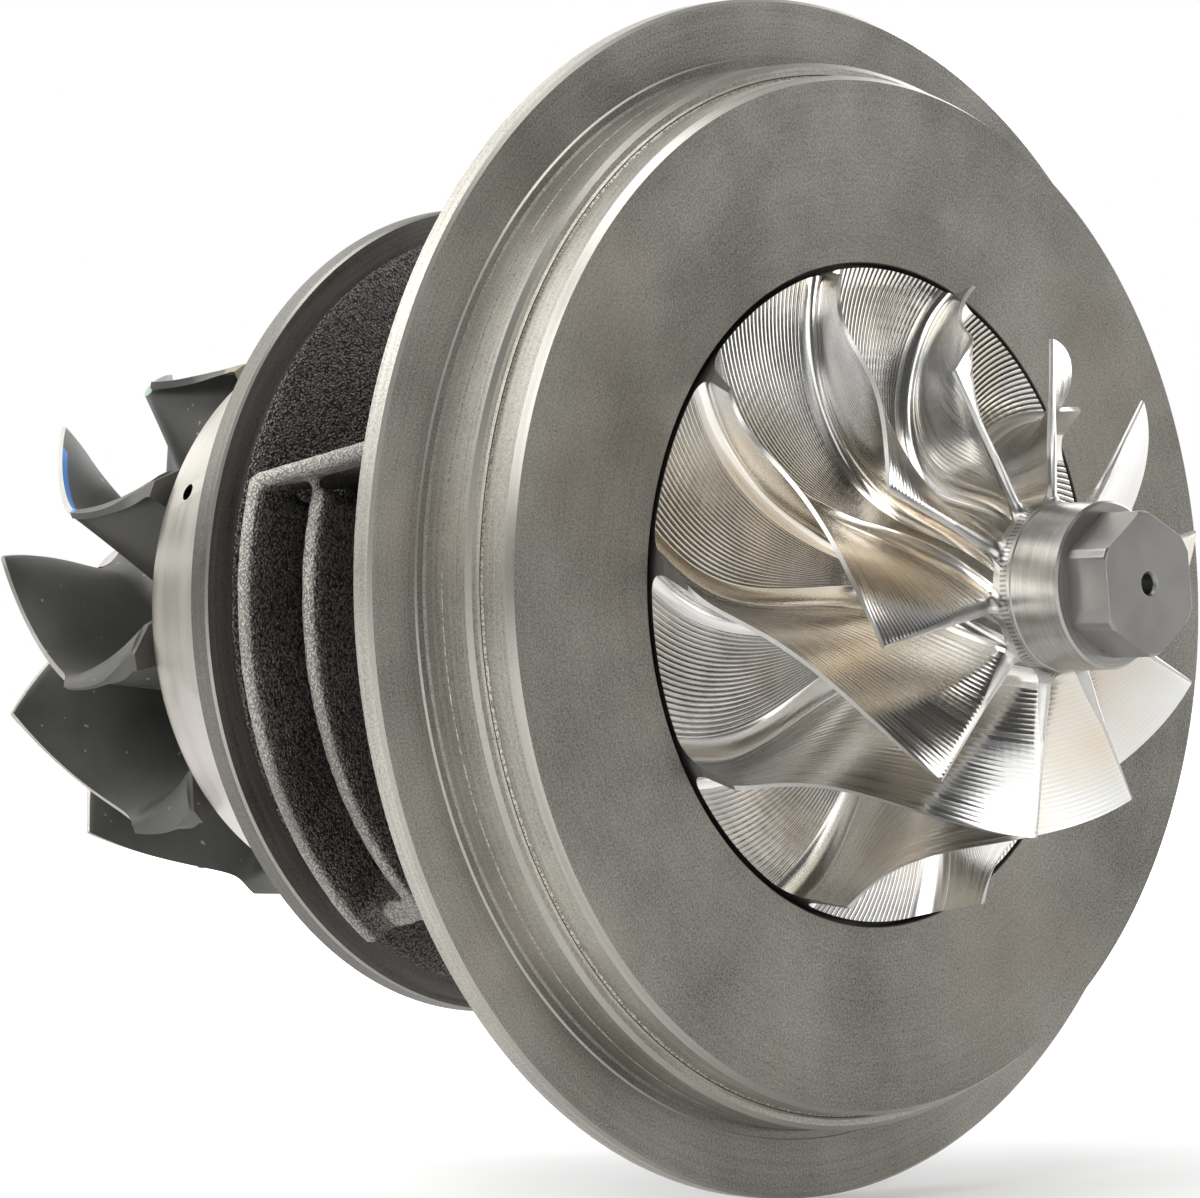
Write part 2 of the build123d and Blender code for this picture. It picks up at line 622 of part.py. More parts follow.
# Heat shield
def heat_shield():
    """The drawn cup behind the turbine wheel, with its lip in the flange."""
    lip_front = TURBINE_FLANGE_BACK_X + SHIELD_SEAT_DEPTH
    lip_back = lip_front - SHIELD_THICK
    inner_end_x = SHIELD_END_X + SHIELD_THICK
    cup = Polygon((lip_back, SHIELD_CONE_R), (SHIELD_END_X, SHIELD_END_R), (SHIELD_END_X, SHIELD_HOLE_R),
                  (inner_end_x, SHIELD_HOLE_R), (inner_end_x, SHIELD_END_R - SHIELD_THICK / 2),
                  (lip_front, SHIELD_CONE_R - SHIELD_THICK / 2), (lip_front, SHIELD_LIP_R),
                  (lip_back, SHIELD_LIP_R), align=None)
    outer = cup.vertices().sort_by_distance((SHIELD_END_X, SHIELD_END_R))[0]
    cup = fillet(outer, SHIELD_CORNER_R)
    inner = cup.vertices().sort_by_distance((inner_end_x, SHIELD_END_R - SHIELD_THICK / 2))[0]
    cup = fillet(inner, SHIELD_CORNER_R - SHIELD_THICK)
    shield = revolve(cup, Axis.X, 360)
    vent = Rot(X=180 - SHIELD_VENT_DEG) * Pos(SHIELD_VENT_X, SHIELD_CONE_R - 2 * SHIELD_CORNER_R, 0)
    return shield - vent * Rot(X=90) * Cylinder(SHIELD_VENT_R, 2 * SHIELD_CORNER_R)


# Bearing housing
def housing_profile():
    """The outer and inner outline of the housing in the (x, radius) plane."""
    cone_rise = (TURBINE_FLANGE_R - TURBINE_CONE_ROOT_R) * math.tan(math.radians(TURBINE_CONE_DEG))
    rim_front = TURBINE_FLANGE_BACK_X + TURBINE_FLANGE_RIM
    seat_x = TURBINE_FLANGE_BACK_X + SHIELD_SEAT_DEPTH
    chamfer_end = LAND_LENGTH + LAND_CHAMFER
    bore_r = BUSH_R + BUSH_CLEARANCE
    outside = [
        (SNOUT_END_X, TURBINE_SEAL_BORE_R), (SNOUT_END_X, SNOUT_END_R), (seat_x, SNOUT_ROOT_R),
        (seat_x, SHIELD_SEAT_R), (TURBINE_FLANGE_BACK_X, SHIELD_SEAT_R),
        (TURBINE_FLANGE_BACK_X, TURBINE_FLANGE_R), (rim_front, TURBINE_FLANGE_R),
        (rim_front + cone_rise, TURBINE_CONE_ROOT_R), (WEB_ROOT_X, CORE_R), (BELL_ROOT_X, CORE_R),
        (BELL_X, BELL_R), (-FLANGE_FOOT_THICK, FLANGE_FOOT_R), (-FLANGE_THICK, FLANGE_R), (0, FLANGE_R),
        (0, LAND_R), (LAND_LENGTH, LAND_R), (chamfer_end, LAND_R - LAND_CHAMFER),
        (chamfer_end, LAND_R - GROOVE_DEPTH), (chamfer_end + GROOVE_WIDTH, LAND_R - GROOVE_DEPTH),
        (chamfer_end + GROOVE_WIDTH, SPIGOT_R), (SPIGOT_LENGTH, SPIGOT_R), (FRONT_FACE_X, FRONT_FACE_R)]
    inside = [
        (FRONT_FACE_X, WHEEL_RECESS_R), (WHEEL_RECESS_X, WHEEL_RECESS_R), (WHEEL_RECESS_X, SEAL_POCKET_R),
        (SEAL_SEAT_X, SEAL_POCKET_R), (SEAL_SEAT_X, POCKET_R), (POCKET_FLOOR_X, POCKET_R),
        (POCKET_FLOOR_X, COLLAR_RECESS_R), (COLLAR_RECESS_X, COLLAR_RECESS_R), (COLLAR_RECESS_X, bore_r),
        (TURBINE_CHAMBER_FRONT_X, bore_r), (TURBINE_CHAMBER_FRONT_X, TURBINE_CHAMBER_R),
        (TURBINE_CHAMBER_BACK_X, TURBINE_CHAMBER_R), (TURBINE_CHAMBER_BACK_X, TURBINE_SEAL_BORE_R)]
    profile = Polygon(*outside, *inside, align=None)
    for corner in ((WEB_ROOT_X, CORE_R), (BELL_ROOT_X, CORE_R), (BELL_X, BELL_R)):
        vertex = profile.vertices().sort_by_distance(corner)[0]
        profile = fillet(vertex, CAST_FILLET)
    return profile


def flank_ribs():
    """The two arched ribs on one flank, with the wall that closes their lower end."""
    rib_front = RIB_END_X + RIB_THICK
    inner_back = RIB_END_X + RIB_PITCH
    inner_front = inner_back + RIB_THICK
    root_r = CORE_R - MARGIN
    profile = Polygon((RIB_END_X, root_r), (RIB_END_X, RIB_OUTER_R), (rib_front, RIB_OUTER_R),
                      (rib_front + MARGIN, VALLEY_R), (inner_back - MARGIN, VALLEY_R),
                      (inner_back, RIB_INNER_R), (inner_front, RIB_INNER_R), (inner_front + MARGIN, root_r),
                      align=None)
    crests = profile.vertices().filter_by(lambda v: v.Y > VALLEY_R + MARGIN)
    profile = fillet(crests, RIB_ROUND)
    ribs = Rot(X=RIB_BOTTOM_DEG) * revolve(profile, Axis.X, RIB_TOP_DEG - RIB_BOTTOM_DEG)
    wall = Polygon((RIB_END_X + RIB_ROUND / 2, root_r), (RIB_END_X + RIB_ROUND / 2, RIB_OUTER_R - RIB_ROUND),
                   (inner_front, RIB_INNER_R - RIB_ROUND), (inner_front + MARGIN, root_r), align=None)
    return ribs + Rot(X=RIB_BOTTOM_DEG) * revolve(wall, Axis.X, END_WALL_DEG)


def flank_shelf():
    """The rising shelf that ties the upper rib ends to the large flange."""
    top_z = RIB_OUTER_R * math.sin(math.radians(RIB_TOP_DEG)) + SHELF_LIFT
    rise = math.tan(math.radians(SHELF_RISE_DEG))
    front_x = -FLANGE_FOOT_THICK - MARGIN / 2
    front_z = top_z + rise * (front_x - RIB_END_X)
    outline = Plane.XZ * Polygon((RIB_END_X, top_z - SHELF_THICK), (RIB_END_X, top_z), (front_x, front_z),
                                 (front_x, front_z - SHELF_THICK), align=None)
    shelf = extrude(outline, SHELF_OUTER_Y, dir=(0, 1, 0))
    long_edges = shelf.edges().filter_by(lambda e: e.center().Y > SHELF_OUTER_Y - MARGIN)
    return fillet(long_edges.filter_by(lambda e: e.length > RIB_OUTER_R / 2), SHELF_ROUND)


def oil_pads():
    """The bosses that carry the feed pad and the drain pad."""
    feed = block((FEED_X - FEED_PAD_LENGTH_X / 2, FEED_X + FEED_PAD_LENGTH_X / 2),
                 (-FEED_PAD_LENGTH_Y / 2, FEED_PAD_LENGTH_Y / 2), (0, FEED_PAD_Z))
    drain = block((DRAIN_X - DRAIN_PAD_LENGTH_X / 2, DRAIN_X + DRAIN_PAD_LENGTH_X / 2),
                  (-DRAIN_PAD_LENGTH_Y / 2, DRAIN_PAD_LENGTH_Y / 2), (DRAIN_PAD_Z, 0))
    feed = fillet(feed.edges().filter_by(Axis.Z), CAST_FILLET)
    return feed, fillet(drain.edges().filter_by(Axis.Z), CAST_FILLET)


def oil_passages():
    """Everything drilled or cored for oil: feed, gallery, drops, sump and drain."""
    bore_r = BUSH_R + BUSH_CLEARANCE
    tube = disc(TURBINE_CHAMBER_FRONT_X, COLLAR_RECESS_X, BEARING_TUBE_R)
    sump_bottom = DRAIN_PAD_Z + DRAIN_BORE_LENGTH
    sump = block((SUMP_BACK_X, SUMP_FRONT_X), (-SUMP_HALF_WIDTH, SUMP_HALF_WIDTH), (sump_bottom, SUMP_TOP_Z))
    slot = block((TURBINE_CHAMBER_BACK_X, SUMP_BACK_X + MARGIN), (-DRAIN_SLOT_HALF_WIDTH, DRAIN_SLOT_HALF_WIDTH),
                 (DRAIN_SLOT_BOTTOM_Z, DRAIN_SLOT_TOP_Z))
    cuts = [
        (sump + slot) - tube,
        vertical_drill(DRAIN_X, 0, DRAIN_PAD_Z - MARGIN, sump_bottom + MARGIN, DRAIN_BORE_R),
        vertical_drill(FEED_X, 0, FEED_PAD_Z - FEED_BORE_DEPTH, FEED_PAD_Z + MARGIN, FEED_BORE_R),
        vertical_drill(FEED_X, 0, GALLERY_Z, FEED_PAD_Z, FEED_DRILL_R),
        axial_drill(0, GALLERY_Z, GALLERY_END_X, POCKET_FLOOR_X + MARGIN, GALLERY_R)]
    for centre_x in (BUSH_TURBINE_X, BUSH_COMPRESSOR_X):
        cuts.append(vertical_drill(centre_x, 0, bore_r - MARGIN, GALLERY_Z, FEED_DROP_R))
    return cuts


def pad_bolt_holes():
    """The tapped holes beside the feed bore and the drain bore."""
    cuts = []
    for side in (-1, 1):
        cuts.append(vertical_drill(FEED_X, side * FEED_BOLT_SPACING / 2, FEED_PAD_Z - FEED_BOLT_DEPTH,
                                   FEED_PAD_Z + MARGIN, FEED_BOLT_R))
        cuts.append(vertical_drill(DRAIN_X, side * DRAIN_BOLT_SPACING / 2, DRAIN_PAD_Z - MARGIN,
                                   DRAIN_PAD_Z + DRAIN_BOLT_DEPTH, DRAIN_BOLT_R))
    return cuts


def ring_and_fixing_cuts():
    """Grooves for the rings, and holes for the thrust plate's screws and pins."""
    cuts = [washer(SEAL_FACE_X, SEAL_FACE_X + SNAP_RING_THICK + RING_GROOVE_PLAY,
                   SEAL_POCKET_R - MARGIN, SNAP_RING_GROOVE_R)]
    for start_x in ring_groove_starts():
        cuts.append(washer(start_x, start_x + RING_THICK + RING_GROOVE_PLAY, BUSH_R - MARGIN, RING_GROOVE_R))
    for degrees in SCREW_ANGLES:
        y, z = on_circle(FIXING_CIRCLE_R, degrees)
        depth = SCREW_LENGTH - THRUST_THICK + MARGIN
        cuts.append(axial_drill(y, z, POCKET_FLOOR_X - depth, POCKET_FLOOR_X + MARGIN, SCREW_SHANK_R + SCREW_FIT))
    for degrees in PIN_ANGLES:
        y, z = on_circle(FIXING_CIRCLE_R, degrees)
        depth = PIN_LENGTH - THRUST_THICK
        cuts.append(axial_drill(y, z, POCKET_FLOOR_X - depth, POCKET_FLOOR_X + MARGIN, PIN_R + PIN_FIT))
    return cuts


def bearing_housing():
    """The cast and machined body that holds everything else."""
    profile = housing_profile()
    body = revolve(profile, Axis.X, 360)
    cavity = disc(SNOUT_END_X - MARGIN, FRONT_FACE_X + MARGIN, CORE_R - MARGIN)
    flank = (flank_ribs() + flank_shelf()) - cavity
    body = body + flank + mirror(flank, about=Plane.XZ)
    for pad in oil_pads():
        body = body + (pad - cavity)
    for cut in oil_passages() + pad_bolt_holes() + ring_and_fixing_cuts():
        body = body - cut
    return body


def all_parts():
    """Every piece of the cartridge by name."""
    parts = {
        "bearing_housing": bearing_housing(),
        "heat_shield": heat_shield(),
        "turbine_wheel": turbine_wheel(),
        "rotor_shaft": rotor_shaft(),
        "turbine_seal_ring_outer": piston_ring(TURBINE_RING_XS[0], TURBINE_SEAL_BORE_R),
        "turbine_seal_ring_inner": piston_ring(TURBINE_RING_XS[1], TURBINE_SEAL_BORE_R),
        "journal_bush_turbine": journal_bush(BUSH_TURBINE_X),
        "journal_bush_compressor": journal_bush(BUSH_COMPRESSOR_X),
        "thrust_collar": thrust_collar(),
        "thrust_bearing": thrust_bearing(),
        "thrust_bearing_screws": thrust_bearing_screws(),
        "thrust_bearing_pins": thrust_bearing_pins(),
        "flinger_sleeve": flinger_sleeve(),
        "oil_deflector": oil_deflector(),
        "seal_plate": seal_plate(),
        "seal_plate_o_ring": seal_plate_o_ring(),
        "seal_plate_snap_ring": seal_plate_snap_ring(),
        "compressor_seal_ring_inner": piston_ring(COMPRESSOR_RING_XS[0], SEAL_BORE_R),
        "compressor_seal_ring_outer": piston_ring(COMPRESSOR_RING_XS[1], SEAL_BORE_R),
        "compressor_wheel": compressor_wheel()}
    for number, start_x in enumerate(ring_groove_starts(), start=1):
        parts[f"bush_retaining_ring_{number}"] = retaining_ring(start_x)
    return parts


os.makedirs("parts", exist_ok=True)
for name, shape in all_parts().items():
    export_step(shape, f"parts/{name}.step")
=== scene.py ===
import math

import bpy
from mathutils import Matrix, Vector
from mathutils import noise as solid_noise


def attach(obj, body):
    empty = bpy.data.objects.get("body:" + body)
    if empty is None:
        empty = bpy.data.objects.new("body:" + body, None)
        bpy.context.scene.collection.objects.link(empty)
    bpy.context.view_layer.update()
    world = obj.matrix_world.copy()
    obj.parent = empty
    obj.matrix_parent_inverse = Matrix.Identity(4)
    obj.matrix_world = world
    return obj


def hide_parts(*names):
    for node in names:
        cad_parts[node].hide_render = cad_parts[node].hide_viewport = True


# Turbocharger cartridge: bearing housing, heat shield, compressor wheel and turbine wheel.
# Lengths up to the studio's are millimetres, the studio's are metres, angles are degrees.
# X runs along the shaft.
MM = 0.001

# Machined front end of the bearing housing
FLANGE_R = 91.0
FLANGE_THICK = 3.6
FLANGE_FOOT_THICK = 6.0
LAND_R = 80.45
LAND_LENGTH = 8.5
LAND_FOOT_R = 81.9
LAND_SCORE_X = 3.8
SPIGOT_R = 78.1
SPIGOT_LENGTH = 14.0
FRONT_FACE_X = 15.3
COVER_BORE_R = 34.0
COVER_BACK_X = -5.0
SEAL_FLOOR_X = 1.0
WHEEL_RECESS_R = 49.85
WHEEL_RECESS_X = 12.0
SEAL_POCKET_R = 40.0

# Clamp flange and snout at the turbine end
CLAMP_FLANGE_R = 63.75
CLAMP_FLANGE_BACK_X = -67.5
CLAMP_CONE_ROOT_R = 59.2
CLAMP_CONE_FRONT_X = -62.22
SHIELD_SEAT_R = 61.0
SHIELD_SEAT_X = -66.4
SNOUT_END_X = -97.0
SNOUT_END_R = 29.0
SNOUT_ROOT_R = 46.0

# Cast body
CORE_R = 38.0
WEB_ROOT_X = -57.5
BELL_ROOT_X = -22.0
BELL_X = -7.5
RIB_END_X = -57.1
RIB_THICK = 3.3
RIB_PITCH = 10.05
RIB_ROUND = 1.3
RIB_OUTER_R = 64.4
RIB_INNER_R = 60.5
RIB_VALLEY_R = 46.0
RIB_TOP = 19.0
RIB_BOTTOM = -52.0
SHELF_THICK = 2.7
SHELF_RISE = 9.0
SHELF_LIFT = 0.9
SHELF_OUTER_Y = 61.0
END_WALL = 5.0
CAST_VOXEL = 0.85
CAST_GRAIN = 0.06
CAST_LUMPS_PER_METRE = 420.0
CAST_KEPT = 0.54
# Colour of the painted highlight, partly wear, on the outer faces of the rib crests
CREST_COLOUR = (0.6, 0.577, 0.53)
FEED_X = -34.0
FEED_PAD_Z = 62.0
FEED_PAD = (22.0, 46.0)
FEED_BORE_R = 5.0
FEED_BOLT_SPACING = 30.0
DRAIN_X = -24.0
DRAIN_PAD_Z = -60.0
DRAIN_PAD = (35.0, 52.0)
DRAIN_BORE_R = 10.5
DRAIN_BOLT_SPACING = 38.0
PAD_BOLT_R = 3.4
PAD_BOLT_DEPTH = 14.0
PAD_FOOT_Z = 37.0
PAD_CORNER_R = 5
SUMP = ((-40, -12), (-14, 14), (-48, -17))
CORE_OUTLINE = [
    (-96.9, 26.4), (-61.0, 26.4), (-61.0, 36.0), (-5.2, 36.0), (-5.2, 34.2), (-16.1, 34.2),
    (-16.1, 18.8), (-22.1, 18.8), (-22.1, 13.3), (-82.0, 13.3), (-82.0, 24.0), (-86.0, 24.0),
    (-86.0, 15.4), (-96.9, 15.4)]

# Heat shield
SHIELD_THICK = 1.0
SHIELD_LIP_R = 60.8
SHIELD_CONE_R = 57.8
SHIELD_END_R = 43.2
SHIELD_END_X = -99.8
SHIELD_HOLE_R = 17.0
SHIELD_CORNER_R = 5.5
SHIELD_VENT_R = 1.35
SHIELD_VENT_X = -88.4
SHIELD_VENT_REACH = 48.3
SHIELD_VENT_ANGLE = 24.8
SHIELD_VENT_AXIS = (0.45, -0.85, 0.25)
# Upper limit of the painted floor reflection low on the heat shield
FLOOR_REFLECTION_TOP_Z = -12.0

# Compressor wheel
BLADE_COUNT = 10
BLADE_STEP = 360.0 / BLADE_COUNT
BLADE_TURN = math.radians(BLADE_STEP)
WHEEL_R = 49.1
RIM_FRONT_X = 15.45
RIM_BACK_X = 13.6
WHEEL_HUB = ((49.0, 12.5), (26.8, 12.5), (RIM_FRONT_X, 13.0), (RIM_FRONT_X, WHEEL_R))
WHEEL_SHROUD = ((48.0, 36.75), (42.5, 36.75), (22.6, 36.5), (22.6, WHEEL_R))
WHEEL_HUB_WRAP = (-9.8, 19.9, 29.0, 32.0, 43.4)
WHEEL_SHROUD_WRAP = (-11.7, 7.1, 22.3, 31.5, 38.3)
WHEEL_BACK = [
    (RIM_BACK_X + 0.3, WHEEL_R), (RIM_BACK_X, WHEEL_R - 0.3), (12.2, 24.0), (11.2, 15.0), (8.0, 15.0),
    (8.0, 6.52), (11.0, 6.52), (11.0, 5.0), (30.0, 5.0), (30.0, 0.0)]
WHEEL_ROOT_THICK = 1.9
WHEEL_TIP_THICK = 0.65
WHEEL_FILLET = 2.6
WHEEL_INLET_FILLET = 1.7
NOSE_FILLET = 3.0
NOSE_R = 12.3
NOSE_START_X = 52.2
NICK_RING_X = (50.3, 51.5)
NICK_COUNT = 110
NOSE_END_X = 60.8
HEX_END_X = 68.0
HEX_ACROSS_FLATS = 19.0
HEX_CORNER_R = 10.6
HEX_TURN = 3.5
CENTRE_HOLE_R = 1.5
CENTRE_HOLE_WALL = 3.6
CENTRE_HOLE_DEPTH = 4.0
WALL_STEPS = 20
FILLET_STEPS = 8
FLOOR_STEPS = 21
FLOW_STEPS = 64
EDGE_STEPS = 4
FLOOR_CELLS = 2 * FILLET_STEPS + FLOOR_STEPS
COLLAR_COLUMNS = EDGE_STEPS + FLOOR_CELLS + 1

# Turbine wheel
TURBINE_HUB = ((-146.0, 13.7), (-113.0, 14.2), (-102.0, 22.0), (-102.0, 44.9))
TURBINE_SHROUD = ((-138.0, 41.2), (-127.0, 40.6), (-120.6, 41.8), (-119.1, 44.8))
TURBINE_HUB_WRAP = (35.0, -3.6, -30.0, -11.7, -7.6)
TURBINE_SHROUD_WRAP = (16.2, 0.9, -8.0, -10.9, -12.7)
TURBINE_ROOT_THICK = 3.0
TURBINE_TIP_THICK = 1.15
TURBINE_RIM_THICK = 1.2
TURBINE_RIM_BOW = -2.0
TURBINE_TAIL_BOW = 1.7
TURBINE_FILLET = 2.4
TURBINE_DISC_R = 29.0
TURBINE_SCALLOP_R = 25.0
TURBINE_BACK_X = -100.9
TURBINE_BOSS_R = 15.0
TURBINE_BOSS_TAPER_X = -88.0
TURBINE_BOSS_END_X = -84.0
TURBINE_BOSS_END_R = 11.0
TURBINE_BACK_STEPS = 6
TURBINE_NOSE_X = -150.0
TURBINE_NOSE_R = 13.7
TURBINE_NOSE_CHAMFER = 1.6

# Finishes of the small parts inside, by the start of their names
INNER_FINISHES = (
    ("ground_steel", (0.55, 0.55, 0.56), 1.0, 0.25,
     ("rotor_shaft", "thrust_collar", "flinger_sleeve", "thrust_bearing_pins")),
    ("bearing_bronze", (0.6, 0.38, 0.17), 1.0, 0.35, ("journal_bush", "thrust_bearing")),
    ("dark_fastener", (0.04, 0.04, 0.045), 0.6, 0.45, ("thrust_bearing_screws",)),
    ("pressed_steel", (0.45, 0.45, 0.45), 1.0, 0.35, ("oil_deflector",)),
    ("turned_iron", (0.25, 0.24, 0.23), 0.8, 0.4, ("seal_plate",)),
    ("black_rubber", (0.02, 0.02, 0.02), 0.0, 0.6, ("seal_plate_o_ring",)),
    ("spring_steel", (0.25, 0.25, 0.27), 1.0, 0.35, ("seal_plate_snap_ring", "bush_retaining_ring")),
    ("ring_iron", (0.22, 0.21, 0.2), 0.9, 0.35, ("turbine_seal_ring", "compressor_seal_ring")))

# Studio
BACKDROP_WAY = (-0.69, 0.72, 0.0)
BACKDROP_DARK = 0.06
BACKDROP_LIGHT = 0.9
FLOOR_GAP = 0.0005
FLOOR_TONE = 0.68
FLOOR_SEEN = 1.6
CAMERA_PLACE = (0.65913, -0.73075, 0.0)
CAMERA_RIGHT = (0.720932886, 0.691877982, -0.0395048299)
CAMERA_UP = (0.0291863388, 0.0266413751, 0.999218892)
CAMERA_BACK = (0.692390014, -0.721522762, -0.000986741748)
CAMERA_LENS = 194.303
LAMPS = (
    ("back_softbox", (-0.09, 1.33, 0.23), 1.2, 17.0),
    ("left_front_softbox", (-0.02, -1.03, 0.87), 0.9, 10.7),
    ("left_rear_softbox", (-1.03, -0.07, 0.87), 1.3, 8.4),
    ("right_softbox", (1.33, 0.09, 0.23), 1.0, 8.5),
    ("top_softbox", (0.08, -0.08, 1.34), 0.9, 8.6),
    ("left_softbox", (-0.75, -0.72, 0.87), 0.8, 5.3),
    ("front_softbox", (1.19, -0.59, 0.23), 0.7, 2.0))


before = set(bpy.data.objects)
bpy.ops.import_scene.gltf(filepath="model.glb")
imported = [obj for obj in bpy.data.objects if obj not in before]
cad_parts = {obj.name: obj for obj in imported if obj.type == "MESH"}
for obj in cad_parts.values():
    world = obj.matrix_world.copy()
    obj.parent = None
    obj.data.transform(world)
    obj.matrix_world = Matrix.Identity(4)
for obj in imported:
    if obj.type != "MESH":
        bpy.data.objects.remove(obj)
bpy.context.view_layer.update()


# Making pieces
def set_mode(mode):
    """Goes to edit mode or back to object mode."""
    bpy.ops.object.mode_set(mode=mode)


def select_points():
    """Selects the whole of the mesh that is being edited."""
    bpy.ops.mesh.select_all(action="SELECT")


def clear_selection():
    """Leaves nothing selected, in object mode."""
    if bpy.context.object and bpy.context.object.mode != "OBJECT":
        set_mode("OBJECT")
    bpy.ops.object.select_all(action="DESELECT")


def pick(piece):
    """Makes one piece the only one selected."""
    clear_selection()
    piece.select_set(True)
    bpy.context.view_layer.objects.active = piece


def named(piece, name):
    """Names a piece and its mesh."""
    piece.name = name
    piece.data.name = name
    return piece


def moved_copy(piece, move):
    """A copy of a piece with its mesh moved by a matrix."""
    copy = piece.copy()
    copy.data = piece.data.copy()
    bpy.context.scene.collection.objects.link(copy)
    copy.data.transform(move)
    return copy


def settle(piece, name):
    """Names a fresh primitive and moves its place into its mesh."""
    pick(named(piece, name))
    bpy.ops.object.transform_apply(location=True, rotation=True, scale=True)
    return piece


def apply_modifier(piece, kind, **settings):
    """Adds one modifier with its settings and applies it."""
    pick(piece)
    modifier = piece.modifiers.new(kind.lower(), kind)
    for key, value in settings.items():
        setattr(modifier, key, value)
    bpy.ops.object.modifier_apply(modifier=modifier.name)
    return piece


def bevelled(piece, width, segments=2, angle=30.0):
    """Rounds the edges that are sharper than the angle."""
    return apply_modifier(piece, "BEVEL", width=width * MM, segments=segments, limit_method="ANGLE",
                          angle_limit=math.radians(angle), use_clamp_overlap=True)


def tidy_mesh(piece, distance=0.002):
    """Merges doubled points and turns the faces outwards."""
    pick(piece)
    set_mode("EDIT")
    select_points()
    bpy.ops.mesh.remove_doubles(threshold=distance * MM)
    bpy.ops.mesh.normals_make_consistent(inside=False)
    set_mode("OBJECT")
    return piece


def smooth(piece, angle=32.0):
    """Smooth shading that keeps real edges."""
    pick(piece)
    bpy.ops.object.shade_smooth_by_angle(angle=math.radians(angle))
    return piece


def joined(name, pieces):
    """Several pieces made one."""
    clear_selection()
    for piece in pieces:
        piece.select_set(True)
    bpy.context.view_layer.objects.active = pieces[0]
    bpy.ops.object.join()
    return named(bpy.context.object, name)


def drawn_outline(name, outline):
    """A chain of edges in the XZ plane through (x, radius) points."""
    clear_selection()
    bpy.ops.mesh.primitive_plane_add(size=MM)
    piece = bpy.context.object
    piece.name = name
    set_mode("EDIT")
    bpy.ops.mesh.select_mode(type="VERT")
    select_points()
    bpy.ops.mesh.merge(type="CENTER")
    start_x, start_r = outline[0]
    bpy.ops.transform.translate(value=(start_x * MM, 0, start_r * MM))
    for (x0, r0), (x1, r1) in zip(outline, outline[1:]):
        step = ((x1 - x0) * MM, 0, (r1 - r0) * MM)
        bpy.ops.mesh.extrude_region_move(TRANSFORM_OT_translate={"value": step})
    return piece


def turned(name, outline, steps=224, ring=True):
    """A solid turned about the shaft from (x, radius) points. A ring's outline is closed first."""
    piece = drawn_outline(name, outline)
    if ring:
        select_points()
        bpy.ops.mesh.edge_face_add()
        bpy.ops.mesh.delete(type="ONLY_FACE")
    select_points()
    bpy.ops.mesh.spin(steps=steps, angle=2 * math.pi, center=(0, 0, 0), axis=(1, 0, 0))
    set_mode("OBJECT")
    return tidy_mesh(piece)


def swept(name, outline, start, end, steps):
    """A solid made by turning a closed outline about the shaft between two angles."""
    piece = drawn_outline(name, outline)
    select_points()
    bpy.ops.mesh.edge_face_add()
    set_mode("OBJECT")
    piece.data.transform(Matrix.Rotation(math.radians(90.0 - start), 4, "X"))
    set_mode("EDIT")
    select_points()
    bpy.ops.mesh.spin(steps=steps, angle=math.radians(end - start), center=(0, 0, 0), axis=(1, 0, 0))
    set_mode("OBJECT")
    return tidy_mesh(piece)


def block(name, x_range, y_range, z_range):
    """A rectangular block between two limits on each axis."""
    spans = (x_range, y_range, z_range)
    centre = [(low + high) / 2 * MM for low, high in spans]
    clear_selection()
    bpy.ops.mesh.primitive_cube_add(size=1.0, location=centre)
    piece = bpy.context.object
    piece.scale = [(high - low) * MM for low, high in spans]
    return settle(piece, name)


def drill(name, place, radius, depth):
    """An upright cylinder centred at a place."""
    clear_selection()
    bpy.ops.mesh.primitive_cylinder_add(vertices=48, radius=radius * MM, depth=depth * MM,
                                        location=[value * MM for value in place])
    return settle(bpy.context.object, name)


def cut_away(piece, cutter, solver="EXACT"):
    """Takes one solid out of another and throws the cutter away."""
    apply_modifier(piece, "BOOLEAN", operation="DIFFERENCE", object=cutter, solver=solver)
    bpy.data.objects.remove(cutter)
    return piece


def mapped_grid(name, rows, columns, place, material=None):
    """A grid whose points are put in place by a function of row and column number."""
    clear_selection()
    bpy.ops.mesh.primitive_grid_add(x_subdivisions=rows - 1, y_subdivisions=columns - 1, size=2.0)
    piece = bpy.context.object
    piece.name = name
    for vertex in piece.data.vertices:
        row = round((vertex.co.x + 1) / 2 * (rows - 1))
        column = round((vertex.co.y + 1) / 2 * (columns - 1))
        vertex.co = place(row, column) * MM
    if material:
        piece.data.materials.append(material)
    return piece


def around_ten(name, period):
    """Ten copies of one blade's share of a wheel, turned into place and merged."""
    copies = [moved_copy(period, Matrix.Rotation(math.radians(BLADE_STEP * number), 4, "X"))
              for number in range(1, BLADE_COUNT)]
    return tidy_mesh(joined(name, [period] + copies))


def rounded_corner(before, corner, after, radius, steps=6):
    """The points of an arc that rounds one corner of an outline."""
    corner_v = Vector((corner[0], corner[1]))
    to_before = (Vector((before[0], before[1])) - corner_v).normalized()
    to_after = (Vector((after[0], after[1])) - corner_v).normalized()
    half = to_before.angle(to_after) / 2
    reach = radius / math.tan(half)
    centre = corner_v + (to_before + to_after).normalized() * (radius / math.sin(half))
    first = corner_v + to_before * reach - centre
    last = corner_v + to_after * reach - centre
    points = []
    for i in range(steps + 1):
        share = i / steps
        spoke = (first * (1 - share) + last * share).normalized() * radius
        points.append((centre.x + spoke.x, centre.y + spoke.y))
    return points


# Blade geometry
def cubic(control, t):
    """A point (x, radius) of a cubic curve."""
    weights = ((1 - t) ** 3, 3 * t * (1 - t) ** 2, 3 * t * t * (1 - t), t ** 3)
    x = sum(weight * point[0] for weight, point in zip(weights, control))
    radius = sum(weight * point[1] for weight, point in zip(weights, control))
    return x, radius


